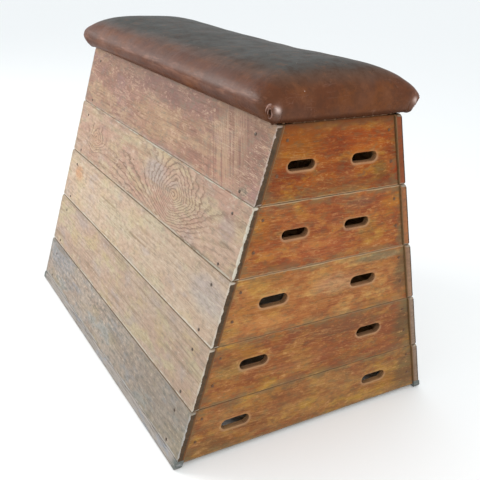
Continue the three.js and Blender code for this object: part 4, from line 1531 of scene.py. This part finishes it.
# %% Iron, felt and runner wood
def finish_iron(name, bright, rust, amount):
    iron = Finish(name)
    blotch = iron.clouds((0.004, 0.004, 0.004), 3.0, detail=4.0, roughness=0.7)
    pit = iron.clouds((0.0012, 0.0012, 0.0012), 5.0, detail=3.0)
    rusted = blotch.ramp(0.62 - amount, 0.75 - amount)
    colour = iron.mix(bright, rust, rusted)
    colour = iron.mix(colour, "#1c1512", pit.ramp(0.52, 0.75) * 0.6)
    along, _, _ = iron.axes()
    at_ends = abs(along).ramp(0.640, 0.660)  # varnish ran over the heads on the end boards
    colour = iron.mix(colour, "#6e431f", at_ends * 0.6)
    iron.shader.inputs["Metallic"].default_value = 0.25
    return iron.complete(colour, rusted * 0.35 + 0.4, pit * -0.00015)


def finish_felt():
    felt = Finish("hair_felt")
    thread = felt.clouds((0.012, 0.0015, 0.0015), 2.0, detail=3.0, warp=1.2)
    crossed = felt.clouds((0.0015, 0.012, 0.0015), 4.0, detail=3.0, warp=1.2)
    lump = felt.clouds((0.03, 0.03, 0.03), 6.0, detail=3.0)
    colour = felt.mix("#8a765c", "#5d4d3b", thread.ramp(0.4, 0.65))
    colour = felt.mix(colour, "#a7967c", crossed.ramp(0.5, 0.7) * 0.6)
    colour = felt.mix(colour, "#4b3e30", lump.ramp(0.5, 0.75) * 0.5)
    return felt.complete(colour, lump * 0.1 + 0.85, thread * 0.0005 + crossed * 0.0005 + lump * 0.001)


def finish_runner():
    rail = Finish("runner_wood")
    along, across, up = rail.axes()
    streak = rail.clouds((0.20, 0.009, 0.006), 2.0, detail=4.0, roughness=0.65)
    patch = rail.clouds((0.09, 0.05, 0.02), 4.0, detail=4.0, roughness=0.65)
    split = rail.clouds((0.16, 0.01, 0.005), 6.0, detail=2.0).thin_line(0.5, 0.02)
    worn = rail.clouds((0.05, 0.03, 0.012), 8.0, detail=4.0, roughness=0.7)
    colour = rail.mix("#9c938b", "#8b837b", streak.ramp(0.4, 0.65))
    colour = rail.mix(colour, "#8f939a", patch.ramp(0.48, 0.66) * 0.7)
    colour = rail.mix(colour, "#b5aaa0", worn.ramp(0.56, 0.72) * 0.6)
    colour = rail.mix(colour, "#4d463f", split * 0.6)
    tip = abs(along).ramp(0.655, 0.69)
    colour = rail.mix(colour, "#5d625e", tip * worn.ramp(0.3, 0.5))
    return rail.complete(colour, patch * 0.2 + 0.68, streak * -0.0004 - split * 0.0006 - worn * 0.0003)


screw_iron = finish_iron("rusty_screw", "#4d4034", "#5c4230", 0.1)
for piece in screws:
    piece.data.materials.append(screw_iron)
tacks.data.materials.append(finish_iron("lacquered_tack", "#5a4a38", "#3b2b22", 0.05))
stuffing.data.materials.append(finish_felt())
runner_wood = finish_runner()
for rail in runners:
    rail.data.materials.append(runner_wood)
print("materials in the scene:", len(bpy.data.materials))

# %% [markdown]
# ## Check the size and finish
#
# The dressed box must not have grown past the construction that it stands on, except by the little that
# soft leather may. Both sizes are written down side by side.

# %% Sizes, and done
scene_low, scene_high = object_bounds()
for label, lengths in (("frame", frame_high - frame_low), ("scene", scene_high - scene_low),
                       ("growth below", frame_low - scene_low), ("growth above", scene_high - frame_high)):
    print(label, [round(length, 4) for length in lengths])
